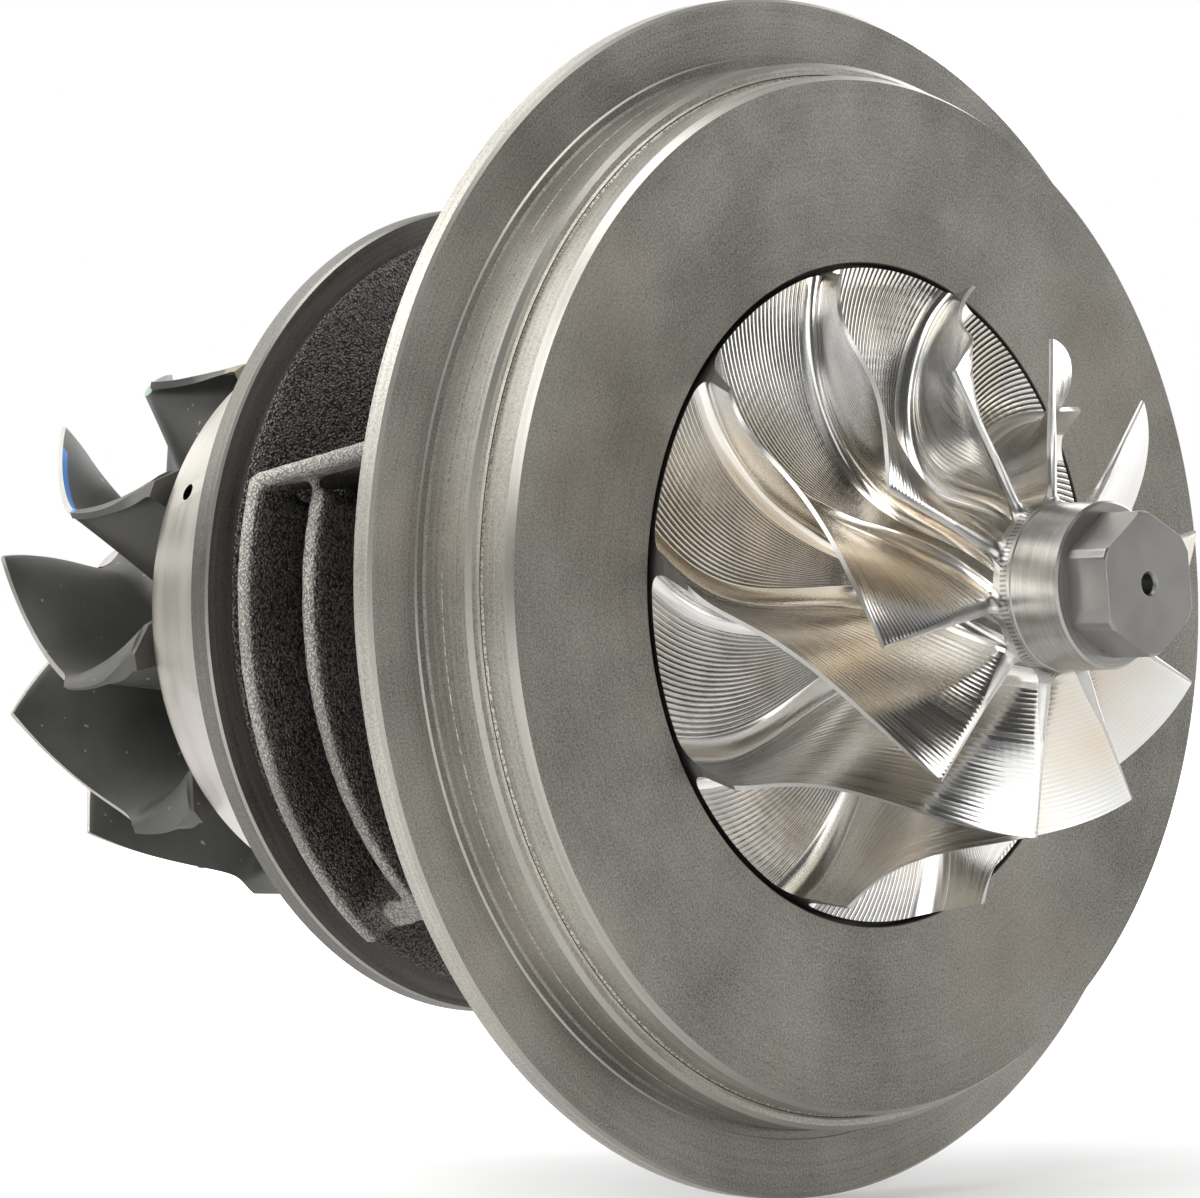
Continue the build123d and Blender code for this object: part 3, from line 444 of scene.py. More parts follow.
def wrap_angle(values, t):
    """The smooth curve through evenly spaced wrap angles."""
    last = len(values) - 1
    total = 0.0
    for i, value in enumerate(values):
        weight = 1.0
        for j in range(last + 1):
            if j != i:
                weight *= (t * last - j) / (i - j)
        total += weight * value
    return total


def around_shaft(x, radius, angle):
    """A point from its place along the shaft, its radius and its angle from -Y towards +Z."""
    return Vector((x, -radius * math.cos(angle), radius * math.sin(angle)))


def swung(point, turn):
    """A point moved round the shaft by an angle in radians."""
    radius = math.hypot(point.y, point.z)
    return around_shaft(point.x, radius, math.atan2(point.z, -point.y) + turn)


def eased(value, low, high):
    """A smooth step from 0 to 1 between two limits."""
    share = min(max((value - low) / (high - low), 0.0), 1.0)
    return share * share * (3 - 2 * share)


def camber_surface(hub, shroud, hub_wrap, shroud_wrap, bows):
    """The middle surface of a blade, as a function of flow share u and height share s.
    It is ruled from hub to tip, and bowed round the shaft by the given degrees at the nose and at the rim."""
    nose_bow, rim_bow = bows

    def surface(u, s):
        hub_x, hub_r = cubic(hub, u)
        tip_x, tip_r = cubic(shroud, u)
        root = around_shaft(hub_x, hub_r, math.radians(wrap_angle(hub_wrap, u)))
        tip = around_shaft(tip_x, tip_r, math.radians(wrap_angle(shroud_wrap, u)))
        point = root.lerp(tip, s)
        bow = nose_bow * (1 - eased(u, 0.0, 0.5)) + rim_bow * eased(u, 0.45, 1.0)
        return swung(point, math.radians(bow) * 4 * s * (1 - s))

    return surface


def wheel_shape(**sizes):
    """The sizes of one bladed wheel, with its camber surface added."""
    sizes["surface"] = camber_surface(sizes["hub"], sizes["shroud"], sizes["hub_wrap"], sizes["shroud_wrap"],
                                      sizes.get("bows", (0.0, 0.0)))
    return sizes


def facing(wheel, u, s):
    """The blade's normal at one place, on the side where the angle grows."""
    surface = wheel["surface"]
    step = 0.002
    along = surface(min(u + step, 1), s) - surface(max(u - step, 0), s)
    across = surface(u, min(s + step, 1)) - surface(u, max(s - step, 0))
    here = surface(u, s)
    normal = along.cross(across).normalized()
    around = Vector((0, here.z, -here.y)).normalized()
    return normal if normal.dot(around) > 0 else -normal


def squareness(wheel, u, s):
    """How squarely the blade faces round the shaft at one place, from 0 to 1."""
    here = wheel["surface"](u, s)
    around = Vector((0, here.z, -here.y)).normalized()
    return max(facing(wheel, u, s).dot(around), 0.3)


def blade_side(wheel, u, s, side):
    """A point on one side of a blade. Side runs from -1 to 1 across its thickness.
    Near the root the thickness is laid round the shaft, further out square to the blade."""
    here = wheel["surface"](u, s)
    half = wheel["thickness"](u, s) / 2
    turned_point = swung(here, side * half / (math.hypot(here.y, here.z) * squareness(wheel, u, s)))
    square_point = here + facing(wheel, u, s) * half * side
    share = eased(s, 0.12, 0.5) * (1 - eased(u, 0.86, 1.0) * wheel["turned_rim"])
    return turned_point.lerp(square_point, share)


def fillet_share(wheel, u):
    """How much of the blade's height its root fillet takes up."""
    height = (wheel["surface"](u, 1) - wheel["surface"](u, 0)).length
    return min(wheel["fillet"](u) / height, 0.4)


def root_turn(wheel, u):
    """The angles that half a blade's root and its fillet take up round the hub."""
    radius = cubic(wheel["hub"], u)[1]
    half = wheel["thickness"](u, 0) / 2 / (radius * squareness(wheel, u, 0))
    spare = BLADE_TURN - 2 * half
    reach = wheel["fillet"](u) / (radius * squareness(wheel, u, 0))
    return half, min(reach, 0.44 * spare)


def rim_cut(wheel, share):
    """The flow share at which the disc ends, cut back between the blades on a scalloped wheel."""
    if not wheel.get("scallop_r"):
        return 1.0
    full_r = cubic(wheel["hub"], 1)[1]
    depth = (full_r - wheel["scallop_r"]) * max(math.sin(math.pi * share), 0) ** 0.7
    low, high = 0.0, 1.0
    for _ in range(30):
        middle = (low + high) / 2
        if cubic(wheel["hub"], middle)[1] < full_r - depth:
            low = middle
        else:
            high = middle
    return high


def root_point(wheel, u, share):
    """A point of the passage floor with its two fillets. Share runs from one blade's wall to the next's."""
    place = share * FLOOR_CELLS
    half, reach = root_turn(wheel, u)
    if place <= FILLET_STEPS or place >= FLOOR_CELLS - FILLET_STEPS:
        near = place if place <= FILLET_STEPS else FLOOR_CELLS - place
        turn = near / FILLET_STEPS * math.pi / 2
        s = fillet_share(wheel, u) * (1 - math.sin(turn))
        out = reach * (1 - math.cos(turn))
        if place <= FILLET_STEPS:
            return swung(blade_side(wheel, u, s, 1), out)
        return swung(blade_side(wheel, u, s, -1), BLADE_TURN - out)
    across = (place - FILLET_STEPS) / FLOOR_STEPS
    start = half + reach
    return swung(wheel["surface"](u, 0), start + (BLADE_TURN - 2 * start) * across)


def passage(wheel, name, material):
    """The skin of one passage: a blade's wall, the floor with its fillets, and the next blade's wall."""
    columns = FLOOR_CELLS + 2 * WALL_STEPS + 1
    cuts = [rim_cut(wheel, i / FLOOR_CELLS) for i in range(FLOOR_CELLS + 1)]

    def place(row, column):
        u = row / FLOW_STEPS
        inner_column = column - WALL_STEPS
        if 0 <= inner_column <= FLOOR_CELLS:
            return root_point(wheel, u * cuts[inner_column], inner_column / FLOOR_CELLS)
        from_tip = column if inner_column < 0 else columns - 1 - column
        s = 1 - (1 - fillet_share(wheel, u)) * from_tip / WALL_STEPS
        if inner_column < 0:
            return blade_side(wheel, u, s, 1)
        return swung(blade_side(wheel, u, s, -1), BLADE_TURN)

    return mapped_grid(name, FLOW_STEPS + 1, columns, place, material)


def edge_point(wheel, u, s, side):
    """A point across a blade's thickness, rounded where the blade ends at the nose."""
    point = blade_side(wheel, u, s, side)
    if u == 0:
        ahead = wheel["surface"](0, s) - wheel["surface"](0.01, s)
        point = point + ahead.normalized() * edge_bulge(wheel, s, side)
    return point


def edge_bulge(wheel, s, side):
    """How far the rounded edge at the nose end stands ahead of the blade's flat end."""
    return wheel["thickness"](0, s) / 2 * math.sqrt(max(1 - side * side, 0))


def tip_strip(wheel, name, material):
    """The narrow outer edge of one blade."""
    def place(row, column):
        return edge_point(wheel, row / FLOW_STEPS, 1, column / EDGE_STEPS * 2 - 1)
    return mapped_grid(name, FLOW_STEPS + 1, EDGE_STEPS + 1, place, material)


def end_strip(wheel, name, u, material):
    """The narrow edge of one blade at the nose end or at the rim."""
    def place(row, column):
        s = 1 - (1 - fillet_share(wheel, u)) * row / WALL_STEPS
        return edge_point(wheel, u, s, column / EDGE_STEPS * 2 - 1)
    return mapped_grid(name, WALL_STEPS + 1, EDGE_STEPS + 1, place, material)


def collar_share(column):
    """How far across the floor a column of the nose or the back is."""
    return max(column - EDGE_STEPS, 0) / FLOOR_CELLS


def rim_share(wheel, column):
    """The flow share at which the disc ends, at a column of the back."""
    return rim_cut(wheel, collar_share(column))


def collar_point(wheel, u, column):
    """A point where the nose or the back starts: across the blade first, then across the floor."""
    if column <= EDGE_STEPS:
        return edge_point(wheel, u, fillet_share(wheel, u), column / EDGE_STEPS * 2 - 1)
    return root_point(wheel, u * rim_share(wheel, column), collar_share(column))


def collar_spread(wheel, column):
    """The angle of a column ahead of the blades, and how far across the root fillet it is."""
    half, reach = root_turn(wheel, 0)
    near = column - EDGE_STEPS
    far = FLOOR_CELLS - near
    if near <= 0:
        return (column / EDGE_STEPS * 2 - 1) * half, 0.0
    if min(near, far) < FILLET_STEPS:
        share = 1 - math.cos(min(near, far) / FILLET_STEPS * math.pi / 2)
        turn = half + reach * share
        return (turn if near < far else BLADE_TURN - turn), share
    start = half + reach
    return start + (BLADE_TURN - 2 * start) * (near - FILLET_STEPS) / FLOOR_STEPS, 1.0


def nose_skin(wheel, name, material):
    """The hub ahead of the blades, where each blade's fillet runs out round its root."""
    hub_x, hub_r = cubic(wheel["hub"], 0)
    inner_x = cubic(wheel["hub"], 0.01)[0]
    outward = 1 if hub_x > inner_x else -1
    wraps = wheel["hub_wrap"]
    twist = math.radians(wrap_angle(wraps, 0) - wrap_angle(wraps, 0.01)) / abs(inner_x - hub_x)
    top = fillet_share(wheel, 0)

    def place(row, column):
        if row == 0:
            return collar_point(wheel, 0, column)
        turn, side_share = collar_spread(wheel, column)
        if row > FILLET_STEPS:
            x, radius = wheel["nose"][row - FILLET_STEPS - 1]
            angle = math.radians(wraps[0]) + turn + twist * abs(x - hub_x)
            return around_shaft(x, radius, angle)
        ahead_share = 1 - math.cos(row / FILLET_STEPS * math.pi / 2)
        away = min(math.hypot(side_share, ahead_share), 1)
        s = top * (1 - math.sqrt(1 - (1 - away) ** 2))
        ahead = wheel["nose_run"] * ahead_share
        if column < EDGE_STEPS:
            ahead += edge_bulge(wheel, s, column / EDGE_STEPS * 2 - 1) * (1 - ahead_share)
        point = swung(wheel["surface"](0, s), turn + twist * ahead)
        point.x += outward * ahead
        return point

    rows = FILLET_STEPS + 1 + len(wheel["nose"])
    return mapped_grid(name, rows, COLLAR_COLUMNS, place, material)


def back_skin(wheel, name, material):
    """The rim and the back of the wheel, which follow the cut-outs between the blades."""
    def place(row, column):
        start = collar_point(wheel, 1, column)
        if row == 0:
            return start
        angle = math.atan2(start.z, -start.y)
        x, radius = wheel["back"](row - 1, cubic(wheel["hub"], rim_share(wheel, column)))
        return around_shaft(x, radius, angle)

    return mapped_grid(name, wheel["back_rows"] + 1, COLLAR_COLUMNS, place, material)


def bladed_wheel(wheel, name, finishes):
    """A whole wheel: one blade's share of it, ten times round the shaft."""
    shares = [passage(wheel, name, finishes["passage"]),
              tip_strip(wheel, name + "_tip", finishes["edge"]),
              end_strip(wheel, name + "_nose_edge", 0, finishes["edge"]),
              end_strip(wheel, name + "_rim_edge", 1, finishes["rim"]),
              nose_skin(wheel, name + "_nose", finishes["nose"]),
              back_skin(wheel, name + "_back", finishes["back"])]
    return smooth(around_ten(name, joined(name, shares)), 38.0)


# Shader groups
def new_group(name, inputs, outputs):
    """An empty shader group with named inputs and outputs. An input with no number is a vector."""
    group = bpy.data.node_groups.new(name, "ShaderNodeTree")
    for label, value in inputs.items():
        kind = "NodeSocketVector" if value is None else "NodeSocketFloat"
        socket = group.interface.new_socket(name=label, in_out="INPUT", socket_type=kind)
        if value is not None:
            socket.default_value = value
    for label in outputs:
        group.interface.new_socket(name=label, in_out="OUTPUT", socket_type="NodeSocketFloat")
    start = group.nodes.new("NodeGroupInput")
    end = group.nodes.new("NodeGroupOutput")
    return group, start, end


def link(tree, source, target):
    """Joins one node's socket to another's."""
    tree.links.new(source, target)


def math_node(tree, operation, first, second=None, third=None):
    """A sum of sockets or plain numbers, giving its output socket."""
    node = tree.nodes.new("ShaderNodeMath")
    node.operation = operation
    for slot, value in enumerate((first, second, third)):
        if value is None:
            continue
        if isinstance(value, (int, float)):
            node.inputs[slot].default_value = value
        else:
            link(tree, value, node.inputs[slot])
    return node.outputs[0]


def times(tree, first, second):
    """Two sockets, or a socket and a number, multiplied."""
    return math_node(tree, "MULTIPLY", first, second)


def vector_node(tree, operation, first, second=None):
    """The outputs of a vector operation on a socket, with a plain vector where it takes two."""
    node = tree.nodes.new("ShaderNodeVectorMath")
    node.operation = operation
    link(tree, first, node.inputs[0])
    if second is not None:
        node.inputs[1].default_value = second
    return node.outputs


def axes(tree, vector):
    """The X, Y and Z of a vector, each as a socket."""
    node = tree.nodes.new("ShaderNodeSeparateXYZ")
    link(tree, vector, node.inputs[0])
    return node.outputs["X"], node.outputs["Y"], node.outputs["Z"]


def ranged(tree, value, low, high, to_low=0.0, to_high=1.0):
    """A value carried from one range to another, clamped."""
    node = tree.nodes.new("ShaderNodeMapRange")
    link(tree, value, node.inputs["Value"])
    node.inputs["From Min"].default_value = low
    node.inputs["From Max"].default_value = high
    node.inputs["To Min"].default_value = to_low
    node.inputs["To Max"].default_value = to_high
    return node.outputs["Result"]


def noise(tree, vector, scale, detail=3.0, roughness=0.5):
    """A soft random value over the surface."""
    node = tree.nodes.new("ShaderNodeTexNoise")
    link(tree, vector, node.inputs["Vector"])
    if isinstance(scale, (int, float)):
        node.inputs["Scale"].default_value = scale
    else:
        link(tree, scale, node.inputs["Scale"])
    node.inputs["Detail"].default_value = detail
    node.inputs["Roughness"].default_value = roughness
    return node.outputs["Fac"]


def speckle_group():
    """Fine grain and cloudy patches, as machined iron shows."""
    group, start, end = new_group(
        "iron_speckle", {"Vector": None, "Grain Scale": 3000.0, "Cloud Scale": 34.0},
        ("Grain", "Cloud", "Pits"))
    grain = noise(group, start.outputs["Vector"], start.outputs["Grain Scale"], 2.0, 0.6)
    cloud = noise(group, start.outputs["Vector"], start.outputs["Cloud Scale"], 4.0, 0.55)
    fine_scale = times(group, start.outputs["Grain Scale"], 0.55)
    pits = noise(group, start.outputs["Vector"], fine_scale, 1.0, 0.4)
    link(group, ranged(group, grain, 0.32, 0.68), end.inputs["Grain"])
    link(group, ranged(group, cloud, 0.3, 0.7), end.inputs["Cloud"])
    link(group, ranged(group, pits, 0.72, 0.8), end.inputs["Pits"])
    return group


def turning_group():
    """Fine marks that run round the shaft, as a lathe leaves them."""
    group, start, end = new_group(
        "turning_marks", {"Vector": None, "Marks Per Metre": 2500.0, "Breakup": 1.5},
        ("Marks", "Bands"))
    x, y, z = axes(group, start.outputs["Vector"])
    radius = math_node(group, "SQRT", math_node(group, "MULTIPLY_ADD", z, z, times(group, y, y)))
    divisor = math_node(group, "MAXIMUM", radius, 0.0001)
    cosine = math_node(group, "DIVIDE", y, divisor)
    sine = math_node(group, "DIVIDE", z, divisor)
    along = math_node(group, "ADD", radius, x)
    for label, share, breakup in (("Marks", 1.0, 1.0), ("Bands", 0.12, 0.5)):
        place = group.nodes.new("ShaderNodeCombineXYZ")
        frequency = times(group, start.outputs["Marks Per Metre"], share)
        turn = times(group, start.outputs["Breakup"], breakup)
        link(group, times(group, along, frequency), place.inputs["X"])
        link(group, times(group, cosine, turn), place.inputs["Y"])
        link(group, times(group, sine, turn), place.inputs["Z"])
        value = noise(group, place.outputs["Vector"], 1.0, 2.0, 0.6)
        link(group, ranged(group, value, 0.3, 0.7), end.inputs[label])
    return group


def scallop_group():
    """Rounded grooves side by side, as a ball-nosed cutter leaves them."""
    group, start, end = new_group(
        "cutter_scallops", {"Across": 0.0, "Along": 0.0, "Grooves": 83.0, "Feed Marks": 300.0},
        ("Height", "Ridge", "Groove Tone"))
    groove = times(group, start.outputs["Across"], start.outputs["Grooves"])
    share = math_node(group, "FRACT", groove)
    centred = math_node(group, "MULTIPLY_ADD", share, 2.0, -1.0)
    bowl = times(group, centred, centred)
    feed = math_node(group, "SINE", times(group, start.outputs["Along"],
                                              start.outputs["Feed Marks"]))
    link(group, math_node(group, "MULTIPLY_ADD", feed, 0.05, bowl), end.inputs["Height"])
    link(group, ranged(group, bowl, 0.45, 0.95), end.inputs["Ridge"])
    number = math_node(group, "FLOOR", groove)
    white = group.nodes.new("ShaderNodeTexWhiteNoise")
    white.noise_dimensions = "1D"
    link(group, number, white.inputs["W"])
    link(group, white.outputs["Value"], end.inputs["Groove Tone"])
    return group


def sand_group():
    """The rough skin of a sand casting."""
    group, start, end = new_group(
        "sand_skin", {"Vector": None, "Grain Scale": 900.0}, ("Height", "Grains", "Glints"))
    cells = group.nodes.new("ShaderNodeTexVoronoi")
    link(group, start.outputs["Vector"], cells.inputs["Vector"])
    link(group, start.outputs["Grain Scale"], cells.inputs["Scale"])
    lump_scale = times(group, start.outputs["Grain Scale"], 0.45)
    lumps = noise(group, start.outputs["Vector"], lump_scale, 4.0, 0.6)
    grains = ranged(group, cells.outputs["Distance"], 0.0, 0.75, 1.0, 0.0)
    link(group, math_node(group, "MULTIPLY_ADD", lumps, 1.4, grains), end.inputs["Height"])
    link(group, times(group, grains, lumps), end.inputs["Grains"])
    sparkle_scale = times(group, start.outputs["Grain Scale"], 1.3)
    sparkle = noise(group, start.outputs["Vector"], sparkle_scale, 1.0, 0.5)
    link(group, ranged(group, sparkle, 0.66, 0.76), end.inputs["Glints"])
    return group


SPECKLE = speckle_group()
TURNING = turning_group()
SCALLOPS = scallop_group()
SAND = sand_group()


# Materials
def new_material(name, metallic, roughness, **sockets):
    """A material with its Principled shader, and the uniform numbers set on the shader itself."""
    material = bpy.data.materials.new(name)
    material.use_nodes = True
    shader = material.node_tree.nodes["Principled BSDF"]
    shader.inputs["Metallic"].default_value = metallic
    shader.inputs["Roughness"].default_value = roughness
    for label, value in sockets.items():
        shader.inputs[label.replace("_", " ").title()].default_value = value
    return material, material.node_tree, shader


def object_place(tree):
    """The place on the object, which patterns follow."""
    return tree.nodes.new("ShaderNodeTexCoord").outputs["Object"]


def placed_group(tree, group, **values):
    """A shader group set into a material, with its own values."""
    node = tree.nodes.new("ShaderNodeGroup")
    node.node_tree = group
    for label, value in values.items():
        socket = node.inputs[label.replace("_", " ").title()]
        if isinstance(value, (int, float)):
            socket.default_value = value
        else:
            link(tree, value, socket)
    return node


def near_point(tree, place, point, reach):
    """A mask with a ragged edge, 1 within reach of one point of the object. The point is in mm."""
    away = vector_node(tree, "DISTANCE", place, point * MM)["Value"]
    ragged = ranged(tree, noise(tree, place, 700.0), 0.3, 0.7, -0.5 * MM, 0.5 * MM)
    distance = math_node(tree, "ADD", away, ragged)
    return ranged(tree, distance, (reach + 0.3) * MM, reach * MM)


def mixed_colour(tree, factor, first, second, blend="MIX"):
    """Two colours mixed by a factor. Each is a plain colour or a socket."""
    node = tree.nodes.new("ShaderNodeMix")
    node.data_type = "RGBA"
    node.blend_type = blend
    if isinstance(factor, (int, float)):
        node.inputs["Factor"].default_value = factor
    else:
        link(tree, factor, node.inputs["Factor"])
    for label, value in (("A", first), ("B", second)):
        socket = [item for item in node.inputs if item.name == label and item.type == "RGBA"][0]
        if isinstance(value, tuple):
            socket.default_value = (*value, 1.0)
        else:
            link(tree, value, socket)
    return [item for item in node.outputs if item.type == "RGBA"][0]


def dress(tree, shader, colour, rough, relief=None, depth=0.0):
    """Gives a shader its colour and roughness, and fine relief with its depth in millimetres."""
    link(tree, colour, shader.inputs["Base Color"])
    link(tree, rough, shader.inputs["Roughness"])
    if relief:
        node = tree.nodes.new("ShaderNodeBump")
        node.inputs["Strength"].default_value = 1.0
        node.inputs["Distance"].default_value = depth * MM
        link(tree, relief, node.inputs["Height"])
        link(tree, node.outputs["Normal"], shader.inputs["Normal"])


def machined_iron(name, dark, light, roughness=0.42, mark_strength=0.35, marks=2500.0):
    """Satin machined iron: cloudy tone, fine speckle and faint lathe marks."""
    material, tree, shader = new_material(name, 0.75, roughness)
    place = object_place(tree)
    speckle = placed_group(tree, SPECKLE, vector=place)
    turning = placed_group(tree, TURNING, vector=place, marks_per_metre=marks)
    tone = math_node(tree, "MULTIPLY_ADD", speckle.outputs["Grain"], 0.55,
                     times(tree, speckle.outputs["Cloud"], 0.45))
    colour = mixed_colour(tree, tone, dark, light)
    stains = ranged(tree, noise(tree, place, 22.0, 4.0), 0.5, 0.72, 0.0, 0.4)
    colour = mixed_colour(tree, stains, colour, (light[0] * 0.62, light[1] * 0.56, light[2] * 0.47))
    streaks = times(tree, turning.outputs["Marks"], mark_strength)
    colour = mixed_colour(tree, streaks, colour, tuple(value * 1.3 for value in light))
    pits = times(tree, speckle.outputs["Pits"], 0.5)
    colour = mixed_colour(tree, pits, colour, tuple(value * 0.35 for value in dark))
    rough = ranged(tree, speckle.outputs["Cloud"], 0.0, 1.0, roughness - 0.05, roughness + 0.07)
    relief = math_node(tree, "MULTIPLY_ADD", turning.outputs["Marks"], 0.5 * mark_strength,
                       speckle.outputs["Grain"])
    dress(tree, shader, colour, rough, relief, 0.012)
    return material


def cast_iron(name, dark, light):
    """Dark sand-cast iron with grains and a few glints, painted shade towards the core, and a painted
    highlight, partly wear, on the rib crests.
    """
    material, tree, shader = new_material(name, 0.8, 0.5)
    place = object_place(tree)
    sand = placed_group(tree, SAND, vector=place, grain_scale=2500.0)
    patches = noise(tree, place, 60.0, 3.0)
    tone = times(tree, sand.outputs["Grains"], ranged(tree, patches, 0.3, 0.7, 0.9, 1.7))
    colour = mixed_colour(tree, tone, dark, light)
    x = axes(tree, place)[0]
    off_axis = vector_node(tree, "MULTIPLY", place, (0, 1, 1))["Vector"]
    radius = vector_node(tree, "LENGTH", off_axis)["Value"]
    # Painted highlight, partly wear: the outer faces of the rib crests are mixed towards a pale colour
    limit = ranged(tree, x, -0.053, -0.05, (RIB_OUTER_R - 0.9) * MM, (RIB_INNER_R - 0.9) * MM)
    above = ranged(tree, math_node(tree, "SUBTRACT", radius, limit), 0.0, 0.5 * MM)
    crest = times(tree, above, ranged(tree, x, -0.014, -0.018))
    # Painted shade: the skin darkens towards the core, deep between the ribs and low on the web
    shade = ranged(tree, radius, CORE_R * MM, RIB_INNER_R * MM, 0.72, 1.0)
    colour = mixed_colour(tree, 1.0, colour, shade, "MULTIPLY")
    crest_wear_and_highlight = times(tree, crest, ranged(tree, tone, 0.1, 0.7, 0.3, 1.0))
    colour = mixed_colour(tree, crest_wear_and_highlight, colour, CREST_COLOUR)
    glints = times(tree, sand.outputs["Glints"], 0.6)
    colour = mixed_colour(tree, glints, colour, tuple(min(value * 2.6, 0.6) for value in light))
    rough = ranged(tree, sand.outputs["Glints"], 0.0, 1.0, 0.55, 0.35)
    dress(tree, shader, colour, rough, sand.outputs["Height"], 0.2)
    return material


def milled_passages(name):
    """Bright aluminium with cutter grooves along the flow, and smooth root fillets between them. The groove
    valleys carry painted shade and the metal carries painted warm reflections.
    """
    material, tree, shader = new_material(name, 1.0, 0.22)
    along, across, _ = axes(tree, tree.nodes.new("ShaderNodeUVMap").outputs["UV"])
    columns = 2 * (WALL_STEPS + FILLET_STEPS) + FLOOR_STEPS
    from_edge = math_node(tree, "ABSOLUTE", math_node(tree, "SUBTRACT", across, 0.5))
    floor_edge = FLOOR_STEPS / 2 / columns
    wall_edge = (FLOOR_STEPS / 2 + FILLET_STEPS) / columns
    on_floor = ranged(tree, from_edge, floor_edge, floor_edge + 0.004, 1.0, 0.0)
    on_wall = ranged(tree, from_edge, wall_edge - 0.004, wall_edge + 0.01, 0.0, 1.0)
    grooves = math_node(tree, "MULTIPLY_ADD", on_wall, 0.5 * columns, float(columns))
    scallops = placed_group(tree, SCALLOPS, across=across, along=along, grooves=grooves)
    wall_depth = ranged(tree, along, 0.0, 0.55, 0.2, 0.07)
    depth = math_node(tree, "MULTIPLY_ADD", on_wall, wall_depth, on_floor)
    place = object_place(tree)
    uneven = ranged(tree, noise(tree, place, 120.0, 2.0), 0.3, 0.7, 0.75, 1.15)
    depth = times(tree, depth, uneven)
    height = times(tree, scallops.outputs["Height"], depth)
    # Painted reflection: warm brown patches stand in for warm surroundings reflected in the aluminium
    warm_reflection = ranged(tree, noise(tree, place, 45.0, 2.0), 0.42, 0.72)
    colour = mixed_colour(tree, warm_reflection, (0.76, 0.755, 0.74), (0.74, 0.66, 0.54))
    # Painted shade in the valleys of the cutter grooves
    valley = times(tree, math_node(tree, "SUBTRACT", 1.0, scallops.outputs["Ridge"]), depth)
    colour = mixed_colour(tree, times(tree, valley, 0.65), colour, (0.18, 0.17, 0.155))
    rough = ranged(tree, scallops.outputs["Groove Tone"], 0.0, 1.0, 0.14, 0.24)
    dress(tree, shader, colour, rough, height, 0.11)
    return material


def nicked_ring(tree, place, colour):
    """The ring of fine nicks round the nose, where the cutter ran out between the hub and the collar."""
    x, y, z = axes(tree, place)
    start, end = NICK_RING_X
    band = times(tree, ranged(tree, x, (start - 0.1) * MM, start * MM),
                     ranged(tree, x, end * MM, (end - 0.1) * MM))
    turn = math_node(tree, "ARCTAN2", z, y)
    wave = math_node(tree, "SINE", times(tree, turn, float(NICK_COUNT)))
    nicks = times(tree, band, ranged(tree, wave, -0.4, 0.6, 0.0, 0.7))
    return mixed_colour(tree, nicks, colour, (0.12, 0.11, 0.1))


def turned_metal(name, colour, roughness, marks=3000.0, depth=0.006, streak=0.3, paint=None):
    """Plain turned metal with marks that run round the shaft."""
    material, tree, shader = new_material(name, 1.0, roughness)
    place = object_place(tree)
    turning = placed_group(tree, TURNING, vector=place, marks_per_metre=marks)
    speckle = placed_group(tree, SPECKLE, vector=place)
    darker = tuple(value * (1 - streak) for value in colour)
    tone = math_node(tree, "MULTIPLY_ADD", speckle.outputs["Grain"], 0.3,
                     times(tree, turning.outputs["Marks"], 0.7))
    shade = mixed_colour(tree, tone, darker, colour)
    if paint:
        shade = paint(tree, place, shade)
    rough = ranged(tree, turning.outputs["Bands"], 0.0, 1.0, roughness * 0.85, roughness * 1.2)
    dress(tree, shader, shade, rough, turning.outputs["Marks"], depth)
    return material


def cast_alloy(name, dark, light, roughness, paint=None):
    """Smooth investment-cast metal with faint mottling and pin marks, and paint where it is wanted."""
    material, tree, shader = new_material(name, 0.45, roughness)
    place = object_place(tree)
    speckle = placed_group(tree, SPECKLE, vector=place, grain_scale=2200.0, cloud_scale=70.0)
    colour = mixed_colour(tree, speckle.outputs["Cloud"], dark, light)
    specks = noise(tree, place, 700.0, 1.0)
    spots = ranged(tree, specks, 0.74, 0.78, 0.0, 0.6)
    colour = mixed_colour(tree, spots, colour, tuple(min(value * 4, 0.7) for value in light))
    if paint:
        colour = paint(tree, place, colour)
    rough = ranged(tree, speckle.outputs["Cloud"], 0.0, 1.0, roughness - 0.05, roughness + 0.08)
    dress(tree, shader, colour, rough, speckle.outputs["Grain"], 0.01)
    return material


def turbine_place(u, s, blade):
    """A point of one turbine blade, counted round from the blade nearest the -Y side."""
    surface = camber_surface(TURBINE_HUB, TURBINE_SHROUD, TURBINE_HUB_WRAP, TURBINE_SHROUD_WRAP, (0.0, 0.0))
    return swung(surface(u, s), math.radians(BLADE_STEP * blade))


def across_wall(tree):
    """How far across a wheel's skin a place is, from 0 at the tip edge of a blade's inner face."""
    return axes(tree, tree.nodes.new("ShaderNodeTexCoord").outputs["UV"])[1]


def face_marks(tree, place, colour):
    """The blue balance mark inside one blade's tip, and a tan one at the corner of the next."""
    band = ranged(tree, across_wall(tree), 0.013, 0.011)
    blue = times(tree, band, near_point(tree, place, turbine_place(0.45, 1.0, 1), 14.0))
    colour = mixed_colour(tree, blue, colour, (0.08, 0.28, 0.7))
    tan = near_point(tree, place, turbine_place(1.0, 0.0, 2), 2.2)
    return mixed_colour(tree, tan, colour, (0.3, 0.28, 0.2))


